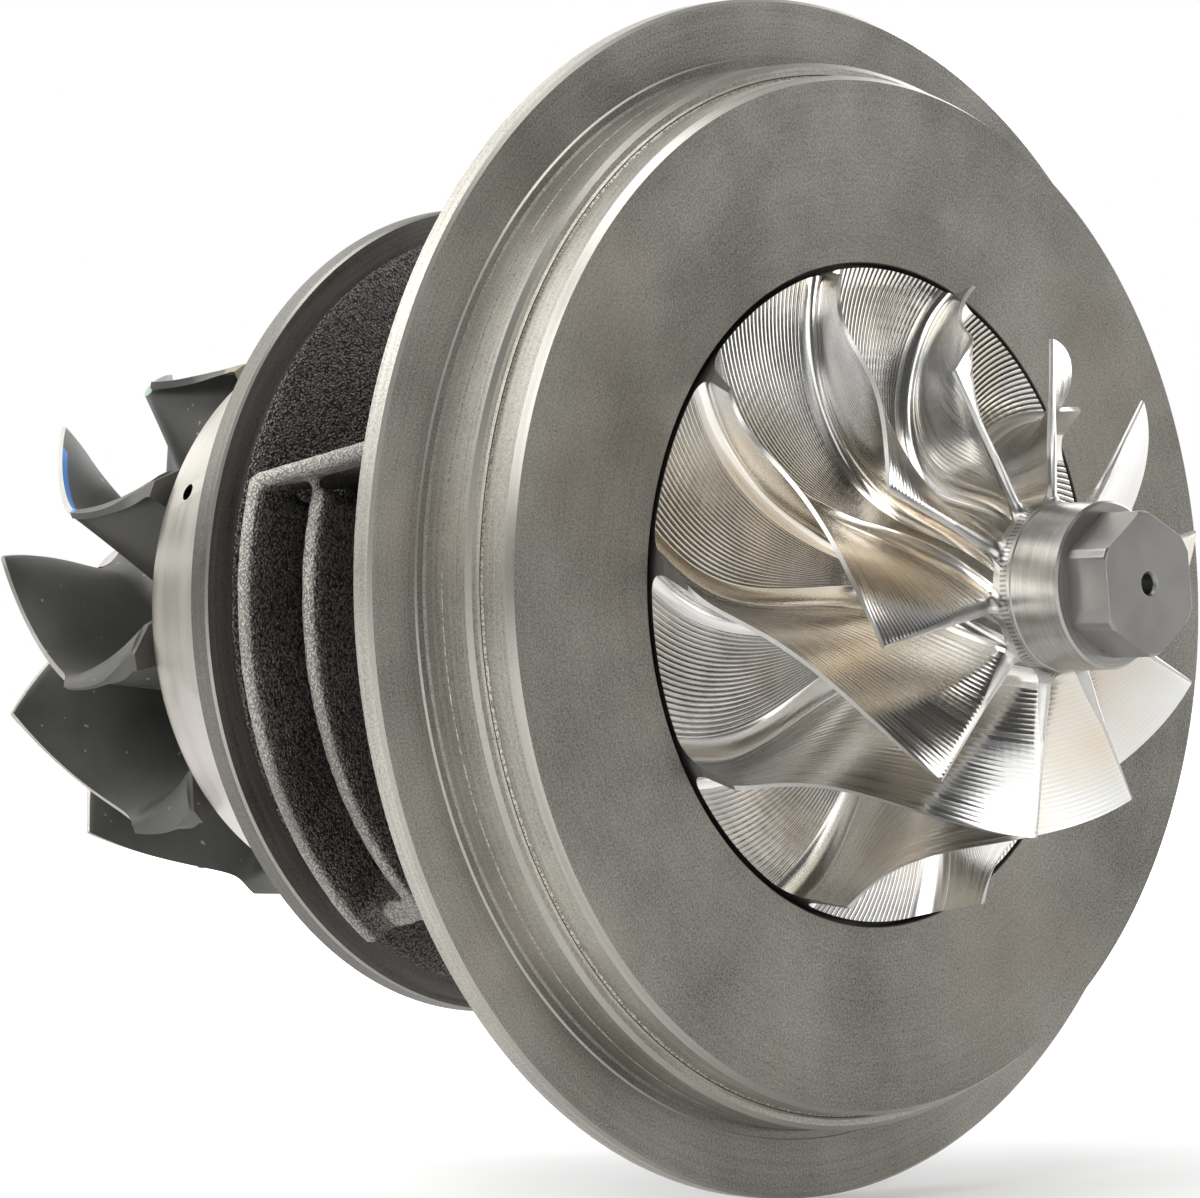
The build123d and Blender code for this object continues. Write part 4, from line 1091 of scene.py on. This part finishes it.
def painted_floor_reflection(tree, place, colour):
    """A painted reflection of the pale floor: a paler, slightly pink zone with a wavy upper limit low on the
    shield.
    """
    wave = ranged(tree, noise(tree, place, 45.0, 2.0), 0.3, 0.7, -5.0 * MM, 5.0 * MM)
    height = math_node(tree, "ADD", axes(tree, place)[2], wave)
    below = ranged(tree, height, FLOOR_REFLECTION_TOP_Z * MM, (FLOOR_REFLECTION_TOP_Z - 3.0) * MM, 0.0, 0.6)
    return mixed_colour(tree, below, colour, (0.68, 0.625, 0.615))


def edge_marks(tree, place, colour):
    """A thin trace of green paint on the tip edge of one blade."""
    side = ranged(tree, across_wall(tree), 0.35, 0.6)
    green = times(tree, side, near_point(tree, place, turbine_place(0.5, 1.0, 2), 13.0))
    return mixed_colour(tree, green, colour, (0.2, 0.42, 0.34))


def glinting_edge(name, dark, light):
    """A sharp machined edge that catches the light in small dots."""
    material, tree, shader = new_material(name, 0.9, 0.35)
    place = object_place(tree)
    dots = ranged(tree, noise(tree, place, 2800.0, 1.0), 0.4, 0.6)
    dress(tree, shader, mixed_colour(tree, dots, dark, light), ranged(tree, dots, 0.0, 1.0, 0.5, 0.3))
    return material


def plain_part(name, colour, metallic, roughness):
    """A finish for the small parts inside, with a faint grain of its own."""
    material, tree, shader = new_material(name, metallic, roughness)
    speckle = placed_group(tree, SPECKLE, vector=object_place(tree), grain_scale=1200.0, cloud_scale=120.0)
    darker = tuple(value * 0.8 for value in colour)
    rough = ranged(tree, speckle.outputs["Cloud"], 0.0, 1.0, roughness * 0.85, min(roughness * 1.2, 1.0))
    dress(tree, shader, mixed_colour(tree, speckle.outputs["Grain"], darker, colour), rough)
    return material


cast_skin = cast_iron("cast_skin", (0.045, 0.042, 0.038), (0.4, 0.382, 0.35))
face_iron = machined_iron("face_iron", (0.05, 0.047, 0.04), (0.335, 0.32, 0.285), mark_strength=0.1)
flange_iron = machined_iron("flange_iron", (0.06, 0.057, 0.049), (0.375, 0.36, 0.325), mark_strength=0.15)
rim_iron = machined_iron("rim_iron", (0.13, 0.125, 0.108), (0.56, 0.54, 0.485), roughness=0.4)
clamp_iron = machined_iron("clamp_iron", (0.075, 0.072, 0.063), (0.2, 0.194, 0.175), mark_strength=0.3)
cone_iron = machined_iron("cone_iron", (0.045, 0.043, 0.039), (0.17, 0.165, 0.152), mark_strength=0.7,
                          marks=1500.0)
# Lighter turned iron on the chamfers and narrow edges: a painted highlight along them
edge_highlight_iron = turned_metal("edge_highlight_iron", (0.47, 0.45, 0.41), 0.36)
glint_iron = glinting_edge("glint_iron", (0.2, 0.188, 0.163), (0.55, 0.51, 0.43))
# Dark iron as painted shade in the wheel pocket, the narrow groove at the spigot step and the bearing core
groove_shade_iron = plain_part("groove_shade_iron", (0.08, 0.075, 0.068), 0.6, 0.5)
passage_aluminium = milled_passages("passage_aluminium")
edge_aluminium = turned_metal("edge_aluminium", (0.5, 0.49, 0.47), 0.36, streak=0.12)
turned_aluminium = turned_metal("turned_aluminium", (0.43, 0.42, 0.4), 0.3, marks=2600.0, depth=0.0005,
                                paint=nicked_ring)
hexagon_aluminium = turned_metal("hexagon_aluminium", (0.285, 0.28, 0.27), 0.36, marks=400.0, depth=0.0,
                                 streak=0.08)
# The heat shield's steel carries a painted reflection of the floor low down
drawn_steel = turned_metal("drawn_steel", (0.56, 0.535, 0.47), 0.36, marks=1200.0, depth=0.001, streak=0.1,
                           paint=painted_floor_reflection)
turbine_metal = cast_alloy("turbine_metal", (0.075, 0.074, 0.067), (0.115, 0.113, 0.102), 0.5, face_marks)
ground_alloy = turned_metal("ground_alloy", (0.4, 0.38, 0.34), 0.38, marks=900.0, depth=0.004)
turbine_edge = turned_metal("turbine_edge", (0.45, 0.43, 0.39), 0.4, streak=0.2, paint=edge_marks)


# Machined front end
def ring_place(face):
    """A face's place along the shaft and its radius, in millimetres."""
    return face.center.x / MM, math.hypot(face.center.y, face.center.z) / MM


def finish_faces(piece, materials, choose):
    """Gives each face the finish that a rule picks from its place."""
    piece.data.materials.clear()
    for material in materials:
        piece.data.materials.append(material)
    for face in piece.data.polygons:
        x, radius = ring_place(face)
        face.material_index = materials.index(choose(x, radius, face.normal))
    return piece


def make_cover_flange():
    """The big flange with its land, spigot, front face and pocket."""
    chamfer_end = LAND_LENGTH + 0.7
    outline = [
        (COVER_BACK_X, COVER_BORE_R), (COVER_BACK_X, 78.0), (-6.1, 78.4), (-FLANGE_FOOT_THICK, LAND_R),
        (-FLANGE_THICK, FLANGE_R - 0.3),
        (-FLANGE_THICK + 0.3, FLANGE_R), (-0.5, FLANGE_R), (0, FLANGE_R - 0.5), (0, LAND_FOOT_R + 0.25),
        (0.3, LAND_FOOT_R), (0.3, LAND_R + 0.35), (0.65, LAND_R), (LAND_SCORE_X, LAND_R),
        (LAND_SCORE_X + 0.12, LAND_R - 0.12), (LAND_SCORE_X + 0.24, LAND_R), (LAND_LENGTH, LAND_R),
        (chamfer_end, LAND_R - 0.7), (chamfer_end, SPIGOT_R + 0.75), (chamfer_end + 0.4, SPIGOT_R + 0.5),
        (chamfer_end + 0.4, SPIGOT_R + 0.3), (chamfer_end + 0.7, SPIGOT_R), (SPIGOT_LENGTH, SPIGOT_R),
        (FRONT_FACE_X, SPIGOT_R - 0.75), (FRONT_FACE_X, WHEEL_RECESS_R + 0.15),
        (FRONT_FACE_X - 0.15, WHEEL_RECESS_R), (WHEEL_RECESS_X, WHEEL_RECESS_R),
        (WHEEL_RECESS_X, SEAL_POCKET_R), (SEAL_FLOOR_X, SEAL_POCKET_R), (SEAL_FLOOR_X, COVER_BORE_R)]
    piece = turned("cover_flange", outline, steps=256)

    def choose(x, radius, normal):
        if radius < WHEEL_RECESS_R + 0.1:
            return groove_shade_iron
        if radius > FLANGE_R - 0.5 and -0.5 < x or SPIGOT_R - 0.7 < radius < SPIGOT_R and x > SPIGOT_LENGTH:
            return edge_highlight_iron
        if LAND_LENGTH < x < chamfer_end or LAND_FOOT_R < radius < LAND_FOOT_R + 0.25:
            return edge_highlight_iron
        if LAND_SCORE_X < x < LAND_SCORE_X + 0.24 and radius > LAND_R - 0.12:
            return glint_iron
        if chamfer_end < x < chamfer_end + 0.4 and radius > SPIGOT_R + 0.5:
            return rim_iron
        # The narrow flat between the two glints is painted shade
        if chamfer_end + 0.3 < x < chamfer_end + 0.7 and radius > SPIGOT_R:
            return groove_shade_iron if abs(normal.x) > 0.9 else glint_iron
        if abs(normal.x) < 0.5 and radius > SPIGOT_R - 1:
            return rim_iron
        return flange_iron if radius > LAND_R else face_iron

    finish_faces(piece, [face_iron, flange_iron, rim_iron, edge_highlight_iron, groove_shade_iron, glint_iron], choose)
    return smooth(piece, 20.0)


def make_clamp_flange():
    """The flange that a band clamp grips, machined all round."""
    rim_front = CLAMP_FLANGE_BACK_X + 3.8
    outline = [
        (SHIELD_SEAT_X, 50.0), (SHIELD_SEAT_X, SHIELD_SEAT_R), (CLAMP_FLANGE_BACK_X + 0.3, SHIELD_SEAT_R),
        (CLAMP_FLANGE_BACK_X, SHIELD_SEAT_R + 0.3), (CLAMP_FLANGE_BACK_X, CLAMP_FLANGE_R - 0.4),
        (CLAMP_FLANGE_BACK_X + 0.4, CLAMP_FLANGE_R), (rim_front - 0.35, CLAMP_FLANGE_R),
        (rim_front, CLAMP_FLANGE_R - 0.35), (CLAMP_CONE_FRONT_X, CLAMP_CONE_ROOT_R),
        (CLAMP_CONE_FRONT_X - 0.2, CLAMP_CONE_ROOT_R - 0.8), (CLAMP_CONE_FRONT_X - 1.4, 50.0)]
    piece = turned("clamp_flange", outline, steps=224)

    def choose(x, radius, normal):
        if radius > CLAMP_FLANGE_R - 0.02:
            return clamp_iron
        if radius > CLAMP_FLANGE_R - 0.4:
            return edge_highlight_iron
        return cone_iron if x > rim_front - 0.1 else face_iron

    finish_faces(piece, [clamp_iron, edge_highlight_iron, cone_iron, face_iron], choose)
    return smooth(piece, 25.0)


# Cast body
def cast_ring():
    """The turned part of the casting: snout, waist, bell and web."""
    outline = [
        (SNOUT_END_X, 26.0), (SNOUT_END_X, SNOUT_END_R), (SHIELD_SEAT_X + 0.2, SNOUT_ROOT_R),
        (SHIELD_SEAT_X + 0.2, 57.0), (SHIELD_SEAT_X + 0.2, CLAMP_CONE_ROOT_R + 1.3),
        (CLAMP_CONE_FRONT_X - 1.0, CLAMP_CONE_ROOT_R + 1.3),
        (CLAMP_CONE_FRONT_X + 0.3, CLAMP_CONE_ROOT_R + 0.15),
        (-61.0, 55.5), (-58.7, 45.0), (WEB_ROOT_X + 0.6, 40.5), (WEB_ROOT_X + 3.2, CORE_R),
        (BELL_ROOT_X - 3.0, CORE_R), (BELL_ROOT_X + 2.0, 40.2), (BELL_X - 1.5, 52.4),
        (BELL_X + 0.2, 55.5), (-6.4, 79.4), (-4.2, 79.4), (-4.2, 35.6), (-60.0, 35.6), (-60.0, 26.0)]
    return turned("casting", outline, steps=160)


def cast_rib(name, back_x, outer_r):
    """One arched rib of a flank, as a plain bar that the casting's smoothing will round."""
    front_x = back_x + RIB_THICK
    root = (back_x, CORE_R - 2.0)
    valley = (front_x + 0.5, RIB_VALLEY_R)
    back_edge = (back_x, outer_r)
    front_edge = (front_x, outer_r)
    crest = (rounded_corner(root, back_edge, front_edge, RIB_ROUND, 4)
             + rounded_corner(back_edge, front_edge, valley, RIB_ROUND, 4))
    return swept(name, [root] + crest + [valley, (front_x + 1.0, CORE_R - 2.0)], RIB_BOTTOM, RIB_TOP, 96)


def cast_flank(name):
    """One flank's ribs, closing wall and shelf. The swept pieces are made on the -Y side and the shelf
    on the +Y side, and a mirrored copy of each completes both flanks."""
    inner_back = RIB_END_X + RIB_PITCH
    inner_front = inner_back + RIB_THICK
    valley = [(RIB_END_X + 1.0, CORE_R - 2.0), (RIB_END_X + 1.0, RIB_VALLEY_R),
              (inner_front - 1.0, RIB_VALLEY_R), (inner_front - 1.0, CORE_R - 2.0)]
    wall = [(RIB_END_X + 0.7, CORE_R - 2.0), (RIB_END_X + 0.7, RIB_OUTER_R - 1.4),
            (inner_front, RIB_INNER_R - 1.4), (inner_front + 1.0, CORE_R - 2.0)]
    top_z = RIB_OUTER_R * math.sin(math.radians(RIB_TOP)) + SHELF_LIFT
    rise = math.tan(math.radians(SHELF_RISE))
    front_x = -FLANGE_FOOT_THICK + 0.8
    shelf = block(name + "_shelf", (RIB_END_X, front_x), (CORE_R - 4.0, SHELF_OUTER_Y),
                  (top_z - SHELF_THICK, top_z))
    for vertex in shelf.data.vertices:
        vertex.co.z += rise * (vertex.co.x - RIB_END_X * MM)
    bevelled(shelf, 1.1, 3, 30.0)
    return [cast_rib(name + "_outer", RIB_END_X, RIB_OUTER_R),
            cast_rib(name + "_inner", inner_back, RIB_INNER_R),
            swept(name + "_valley", valley, RIB_BOTTOM, RIB_TOP, 48),
            swept(name + "_wall", wall, RIB_BOTTOM, RIB_BOTTOM + END_WALL, 6),
            shelf]


def mirrored(piece):
    """A copy of a piece on the other side of the XZ plane."""
    return tidy_mesh(moved_copy(piece, Matrix.Scale(-1, 4, (0, 1, 0))))


def cast_pad(name, x, z, size, top):
    """The boss of an oil pad, with rounded upright corners."""
    half_x, half_y = size[0] / 2, size[1] / 2
    low, high = sorted((z, top))
    pad = block(name, (x - half_x, x + half_x), (-half_y, half_y), (low, high))
    pick(pad)
    set_mode("EDIT")
    bpy.ops.mesh.select_mode(type="EDGE")
    bpy.ops.mesh.select_all(action="DESELECT")
    set_mode("OBJECT")
    for edge in pad.data.edges:
        first, second = (pad.data.vertices[index].co for index in edge.vertices)
        edge.select = abs(first.z - second.z) > 1 * MM
    set_mode("EDIT")
    bpy.ops.mesh.bevel(offset=PAD_CORNER_R * MM, segments=6)
    set_mode("OBJECT")
    return pad


def roughen(piece, depth):
    """Small lumps and hollows pressed into the skin, the same on every run."""
    normals = [vertex.normal.copy() for vertex in piece.data.vertices]
    for vertex, normal in zip(piece.data.vertices, normals):
        place = vertex.co * CAST_LUMPS_PER_METRE
        lump = solid_noise.noise(place) * 0.65 + solid_noise.noise(place * 2.3) * 0.35
        vertex.co += normal * lump * depth * MM
    return piece


def make_casting():
    """The whole rough casting in one skin, then its machined pads and holes."""
    flank = cast_flank("flank")
    pieces = [cast_ring()] + flank + [mirrored(piece) for piece in flank]
    pieces.append(cast_pad("feed_pad", FEED_X, PAD_FOOT_Z, FEED_PAD, FEED_PAD_Z + 1.0))
    pieces.append(cast_pad("drain_pad", DRAIN_X, DRAIN_PAD_Z - 1.0, DRAIN_PAD, -PAD_FOOT_Z))
    body = joined("casting", pieces)
    apply_modifier(body, "REMESH", mode="VOXEL", voxel_size=CAST_VOXEL * MM)
    apply_modifier(body, "SMOOTH", factor=0.5, iterations=5)
    roughen(body, CAST_GRAIN)
    apply_modifier(body, "DECIMATE", ratio=CAST_KEPT)
    cutters = [
        block("feed_face", (-50, -18), (-30, 30), (FEED_PAD_Z, FEED_PAD_Z + 6)),
        block("drain_face", (-50, -8.4), (-32, 32), (DRAIN_PAD_Z - 6, DRAIN_PAD_Z)),
        drill("feed_bore", (FEED_X, 0, FEED_PAD_Z - 4), FEED_BORE_R, 28),
        drill("drain_bore", (DRAIN_X, 0, DRAIN_PAD_Z + 6), DRAIN_BORE_R, 40),
        block("sump", *SUMP)]
    for side in (-0.5, 0.5):
        for x, spacing, z in ((FEED_X, FEED_BOLT_SPACING, FEED_PAD_Z),
                              (DRAIN_X, DRAIN_BOLT_SPACING, DRAIN_PAD_Z)):
            cutters.append(drill("pad_bolt", (x, side * spacing, z), PAD_BOLT_R, 2 * PAD_BOLT_DEPTH))
    for cutter in cutters:
        cut_away(body, cutter, "MANIFOLD")
    body.data.materials.clear()
    for material in (cast_skin, face_iron):
        body.data.materials.append(material)
    for face in body.data.polygons:
        z = face.center.z / MM
        face.material_index = 0
        if abs(face.normal.z) > 0.99 and (abs(z - FEED_PAD_Z) < 0.02 or abs(z - DRAIN_PAD_Z) < 0.02):
            face.material_index = 1
    return smooth(body, 40.0)


def make_bearing_core():
    """The bored middle of the housing that carries the bushes, inside the casting."""
    piece = turned("bearing_core", CORE_OUTLINE, steps=96)
    piece.data.materials.append(groove_shade_iron)
    return smooth(piece, 30.0)


# Heat shield
def make_heat_shield():
    """The drawn cup with its lip and its one small vent."""
    lip_front = SHIELD_SEAT_X
    lip_back = lip_front - SHIELD_THICK
    inner_x = SHIELD_END_X + SHIELD_THICK
    outer = rounded_corner((lip_back, SHIELD_CONE_R), (SHIELD_END_X, SHIELD_END_R),
                           (SHIELD_END_X, SHIELD_HOLE_R), SHIELD_CORNER_R, 10)
    inner = rounded_corner((inner_x, SHIELD_HOLE_R), (inner_x, SHIELD_END_R - 0.5),
                           (lip_front, SHIELD_CONE_R - 0.5), SHIELD_CORNER_R - SHIELD_THICK, 10)
    outline = [(lip_back, SHIELD_CONE_R + 0.6), (lip_back - 0.2, SHIELD_CONE_R + 0.15),
               (lip_back - 0.9, SHIELD_CONE_R - 0.4)]
    outline += outer + [(SHIELD_END_X, SHIELD_HOLE_R + 0.3), (SHIELD_END_X + 0.3, SHIELD_HOLE_R),
                        (inner_x, SHIELD_HOLE_R)]
    outline += inner + [(lip_front, SHIELD_CONE_R - 0.5), (lip_front, SHIELD_LIP_R),
                        (lip_back + 0.25, SHIELD_LIP_R), (lip_back, SHIELD_LIP_R - 0.25)]
    piece = turned("heat_shield_cup", outline, steps=224)
    angle = math.radians(SHIELD_VENT_ANGLE)
    clear_selection()
    bpy.ops.mesh.primitive_cylinder_add(vertices=32, radius=SHIELD_VENT_R * MM, depth=16 * MM)
    vent = bpy.context.object
    lean = Vector(SHIELD_VENT_AXIS).to_track_quat("Z", "Y")
    vent.data.transform(lean.to_matrix().to_4x4())
    vent.data.transform(Matrix.Translation(around_shaft(SHIELD_VENT_X, SHIELD_VENT_REACH, angle) * MM))
    cut_away(piece, vent)
    piece.data.materials.append(drawn_steel)
    return smooth(piece, 30.0)


# Wheels
def compressor_fillet(u):
    """Root fillet radius of the compressor blades, from the nose to the rim."""
    return WHEEL_INLET_FILLET + (WHEEL_FILLET - WHEEL_INLET_FILLET) * min(u / 0.35, 1)


def turbine_fillet(u):
    """Root fillet radius of the turbine blades, which dies out at the rim."""
    return 0.3 + (TURBINE_FILLET - 0.3) * min((1 - u) / 0.3, 1)


def compressor_thickness(u, s):
    """Full thickness of a compressor blade."""
    return WHEEL_ROOT_THICK + (WHEEL_TIP_THICK - WHEEL_ROOT_THICK) * s


def turbine_thickness(u, s):
    """Full thickness of a turbine blade: thick at the root in the middle, thin at both ends."""
    root = TURBINE_RIM_THICK + (TURBINE_ROOT_THICK - TURBINE_RIM_THICK) * (1 - eased(u, 0.5, 1.0))
    tip = TURBINE_TIP_THICK * (0.7 + 0.3 * eased(u, 0.0, 0.5))
    return root + (tip - root) * s


def compressor_back(row, rim):
    """The outline behind the compressor rim, row by row."""
    return WHEEL_BACK[row]


def turbine_back(row, rim):
    """The outline behind the turbine disc, whose spokes thin out towards the blade corners."""
    rim_x, rim_r = rim
    boss = [(TURBINE_BACK_X, TURBINE_BOSS_R), (TURBINE_BOSS_TAPER_X, TURBINE_BOSS_R),
            (TURBINE_BOSS_END_X, TURBINE_BOSS_END_R), (TURBINE_BOSS_END_X, 0.0)]
    if row >= TURBINE_BACK_STEPS:
        return boss[row - TURBINE_BACK_STEPS]
    radius = rim_r + (TURBINE_BOSS_R + 2 - rim_r) * (row / TURBINE_BACK_STEPS) ** 1.3
    if row == 0:
        return rim_x + TURBINE_RIM_THICK * 0.5, radius
    return TURBINE_BACK_X - 0.5 * eased(radius, TURBINE_DISC_R, rim_r), radius


def make_compressor_wheel():
    """Ten full blades milled from solid, on a hub with a flat back."""
    wheel = wheel_shape(
        hub=WHEEL_HUB, shroud=WHEEL_SHROUD, hub_wrap=WHEEL_HUB_WRAP, shroud_wrap=WHEEL_SHROUD_WRAP,
        thickness=compressor_thickness, turned_rim=1.0, fillet=compressor_fillet, nose_run=NOSE_FILLET,
        nose=[(NOSE_START_X, NOSE_R), (NOSE_START_X, 0.0)], back=compressor_back, back_rows=len(WHEEL_BACK))
    finishes = {"passage": passage_aluminium, "edge": edge_aluminium, "rim": edge_aluminium,
                "nose": turned_aluminium, "back": turned_aluminium}
    return bladed_wheel(wheel, "compressor_wheel_milled", finishes)


def make_turbine_wheel():
    """Ten cast blades on a scalloped disc, with the seal boss behind it."""
    chamfer_x = TURBINE_NOSE_X + TURBINE_NOSE_CHAMFER
    wheel = wheel_shape(
        hub=TURBINE_HUB, shroud=TURBINE_SHROUD, hub_wrap=TURBINE_HUB_WRAP, shroud_wrap=TURBINE_SHROUD_WRAP,
        thickness=turbine_thickness, turned_rim=0.0, bows=(TURBINE_TAIL_BOW, TURBINE_RIM_BOW),
        fillet=turbine_fillet, nose_run=1.6, scallop_r=TURBINE_SCALLOP_R,
        nose=[(chamfer_x, TURBINE_NOSE_R), (TURBINE_NOSE_X, TURBINE_NOSE_R - TURBINE_NOSE_CHAMFER),
              (TURBINE_NOSE_X, 6.5), (TURBINE_NOSE_X + 0.8, 5.5), (TURBINE_NOSE_X + 0.8, 1.6),
              (TURBINE_NOSE_X + 2.2, 0.0)],
        back=turbine_back, back_rows=TURBINE_BACK_STEPS + 4)
    finishes = {"passage": turbine_metal, "edge": turbine_edge, "rim": turbine_metal,
                "nose": ground_alloy, "back": turbine_metal}
    return bladed_wheel(wheel, "turbine_wheel_cast", finishes)


def make_nose_drive():
    """The turned nose with its hexagon, shoulders and centre hole."""
    collar_outline = [
        (NOSE_START_X - 0.3, 0.0), (NOSE_START_X - 0.3, NOSE_R), (NOSE_END_X - 0.35, NOSE_R),
        (NOSE_END_X, NOSE_R - 0.35), (NOSE_END_X, 0.0)]
    collar = turned("nose_drive", collar_outline, steps=128, ring=False)
    head_outline = [
        (NOSE_END_X - 0.1, 0.0), (NOSE_END_X - 0.1, HEX_CORNER_R), (HEX_END_X - 0.35, HEX_CORNER_R),
        (HEX_END_X, HEX_CORNER_R - 0.35), (HEX_END_X, CENTRE_HOLE_R + 0.35), (HEX_END_X - 0.5, CENTRE_HOLE_R),
        (HEX_END_X - CENTRE_HOLE_WALL, CENTRE_HOLE_R), (HEX_END_X - CENTRE_HOLE_DEPTH, 0.0)]
    head = turned("nose_hexagon", head_outline, steps=144, ring=False)
    pick(head)
    set_mode("EDIT")
    for side in range(6):
        angle = math.radians(HEX_TURN + 60.0 * side)
        normal = Vector((0, math.cos(angle), math.sin(angle)))
        select_points()
        bpy.ops.mesh.bisect(plane_co=normal * HEX_ACROSS_FLATS / 2 * MM, plane_no=normal, use_fill=True,
                            clear_outer=True)
    set_mode("OBJECT")
    bevelled(head, 0.3, 2, 25.0)
    collar.data.materials.append(turned_aluminium)
    head.data.materials.append(hexagon_aluminium)
    piece = joined("nose_drive", [collar, head])
    return smooth(piece, 12.0)


compressor_wheel = make_compressor_wheel()
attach(compressor_wheel, "rotor")
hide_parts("compressor_wheel")

nose_drive = make_nose_drive()
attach(nose_drive, "rotor")

turbine_wheel = make_turbine_wheel()
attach(turbine_wheel, "rotor")
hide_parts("turbine_wheel")

casting = make_casting()
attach(casting, "housing")
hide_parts("bearing_housing")

bearing_core = make_bearing_core()
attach(bearing_core, "housing")

cover_flange = make_cover_flange()
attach(cover_flange, "housing")

clamp_flange = make_clamp_flange()
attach(clamp_flange, "housing")

heat_shield = make_heat_shield()
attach(heat_shield, "housing")
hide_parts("heat_shield")


# Small parts inside, whose solids already have the right shape
def finish_inner_parts():
    """Gives every solid that stays its own finish."""
    finishes = {}
    for finish, colour, metallic, roughness, parts in INNER_FINISHES:
        material = plain_part(finish, colour, metallic, roughness)
        finishes.update((part, material) for part in parts)
    for name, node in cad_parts.items():
        best = max((key for key in finishes if name.startswith(key)), key=len, default="seal_plate")
        node.data.materials.clear()
        node.data.materials.append(finishes[best])


finish_inner_parts()


# Floor, lamps and camera
def light_path(tree):
    """The light path node, and what is 1 where metal or glass shows a thing."""
    path = tree.nodes.new("ShaderNodeLightPath")
    return path, math_node(tree, "ADD", path.outputs["Is Glossy Ray"], path.outputs["Is Transmission Ray"])


def make_floor():
    """The pale floor just under the big flange."""
    clear_selection()
    bpy.ops.mesh.primitive_plane_add(size=8.0, location=(0, 0, -FLANGE_R * MM - FLOOR_GAP))
    floor = bpy.context.object
    floor.name = "floor"
    material, tree, shader = new_material("pale_floor", 0.0, 0.9)
    shader.inputs["Base Color"].default_value = (FLOOR_TONE, FLOOR_TONE, FLOOR_TONE, 1.0)
    shader.inputs["Emission Color"].default_value = (1, 1, 1, 1)
    path, shown = light_path(tree)
    seen = math_node(tree, "MULTIPLY_ADD", path.outputs["Is Camera Ray"], FLOOR_SEEN, shown)
    distance = vector_node(tree, "LENGTH", object_place(tree))["Value"]
    glow = ranged(tree, distance, 0.15, 1.2, 0.15, 0.7)
    link(tree, times(tree, seen, glow), shader.inputs["Emission Strength"])
    floor.data.materials.append(material)
    return floor


def make_world():
    """A white backdrop. Metal and glass show it too, white behind the object and dark in front of it."""
    world = bpy.data.worlds.new("studio")
    bpy.context.scene.world = world
    world.use_nodes = True
    tree = world.node_tree
    sky = tree.nodes.new("ShaderNodeTexCoord").outputs["Generated"]
    facing_back = vector_node(tree, "DOT_PRODUCT", sky, BACKDROP_WAY)["Value"]
    backdrop = ranged(tree, facing_back, 0.0, 1.0, BACKDROP_DARK, 1.0)
    path, shown = light_path(tree)
    strength = times(tree, backdrop, ranged(tree, shown, 0.0, 1.0, BACKDROP_LIGHT, 1.0))
    studio = tree.nodes["Background"]
    studio.inputs["Color"].default_value = (1, 1, 1, 1)
    link(tree, math_node(tree, "MAXIMUM", path.outputs["Is Camera Ray"], strength), studio.inputs["Strength"])


def make_lamp(name, place, size, power):
    """A square soft lamp that points at the object."""
    light = bpy.data.lights.new(name, "AREA")
    light.energy = power
    light.size = size
    lamp = bpy.data.objects.new(name, light)
    bpy.context.scene.collection.objects.link(lamp)
    lamp.location = place
    lamp.rotation_euler = (-lamp.location).to_track_quat("-Z", "Y").to_euler()


def make_camera():
    """The photograph's viewpoint."""
    camera = bpy.data.cameras.new("camera")
    camera.sensor_width = 36.0
    camera.lens = CAMERA_LENS
    camera.clip_start = 0.01
    camera.clip_end = 20.0
    view = bpy.data.objects.new("camera", camera)
    bpy.context.scene.collection.objects.link(view)
    turn = Matrix((CAMERA_RIGHT, CAMERA_UP, CAMERA_BACK)).transposed().to_4x4()
    turn.translation = Vector(CAMERA_PLACE)
    view.matrix_world = turn
    bpy.context.scene.camera = view


make_floor()
make_world()
for name, place, size, power in LAMPS:
    make_lamp(name, place, size, power)
make_camera()
bpy.context.scene.view_settings.view_transform = "Standard"
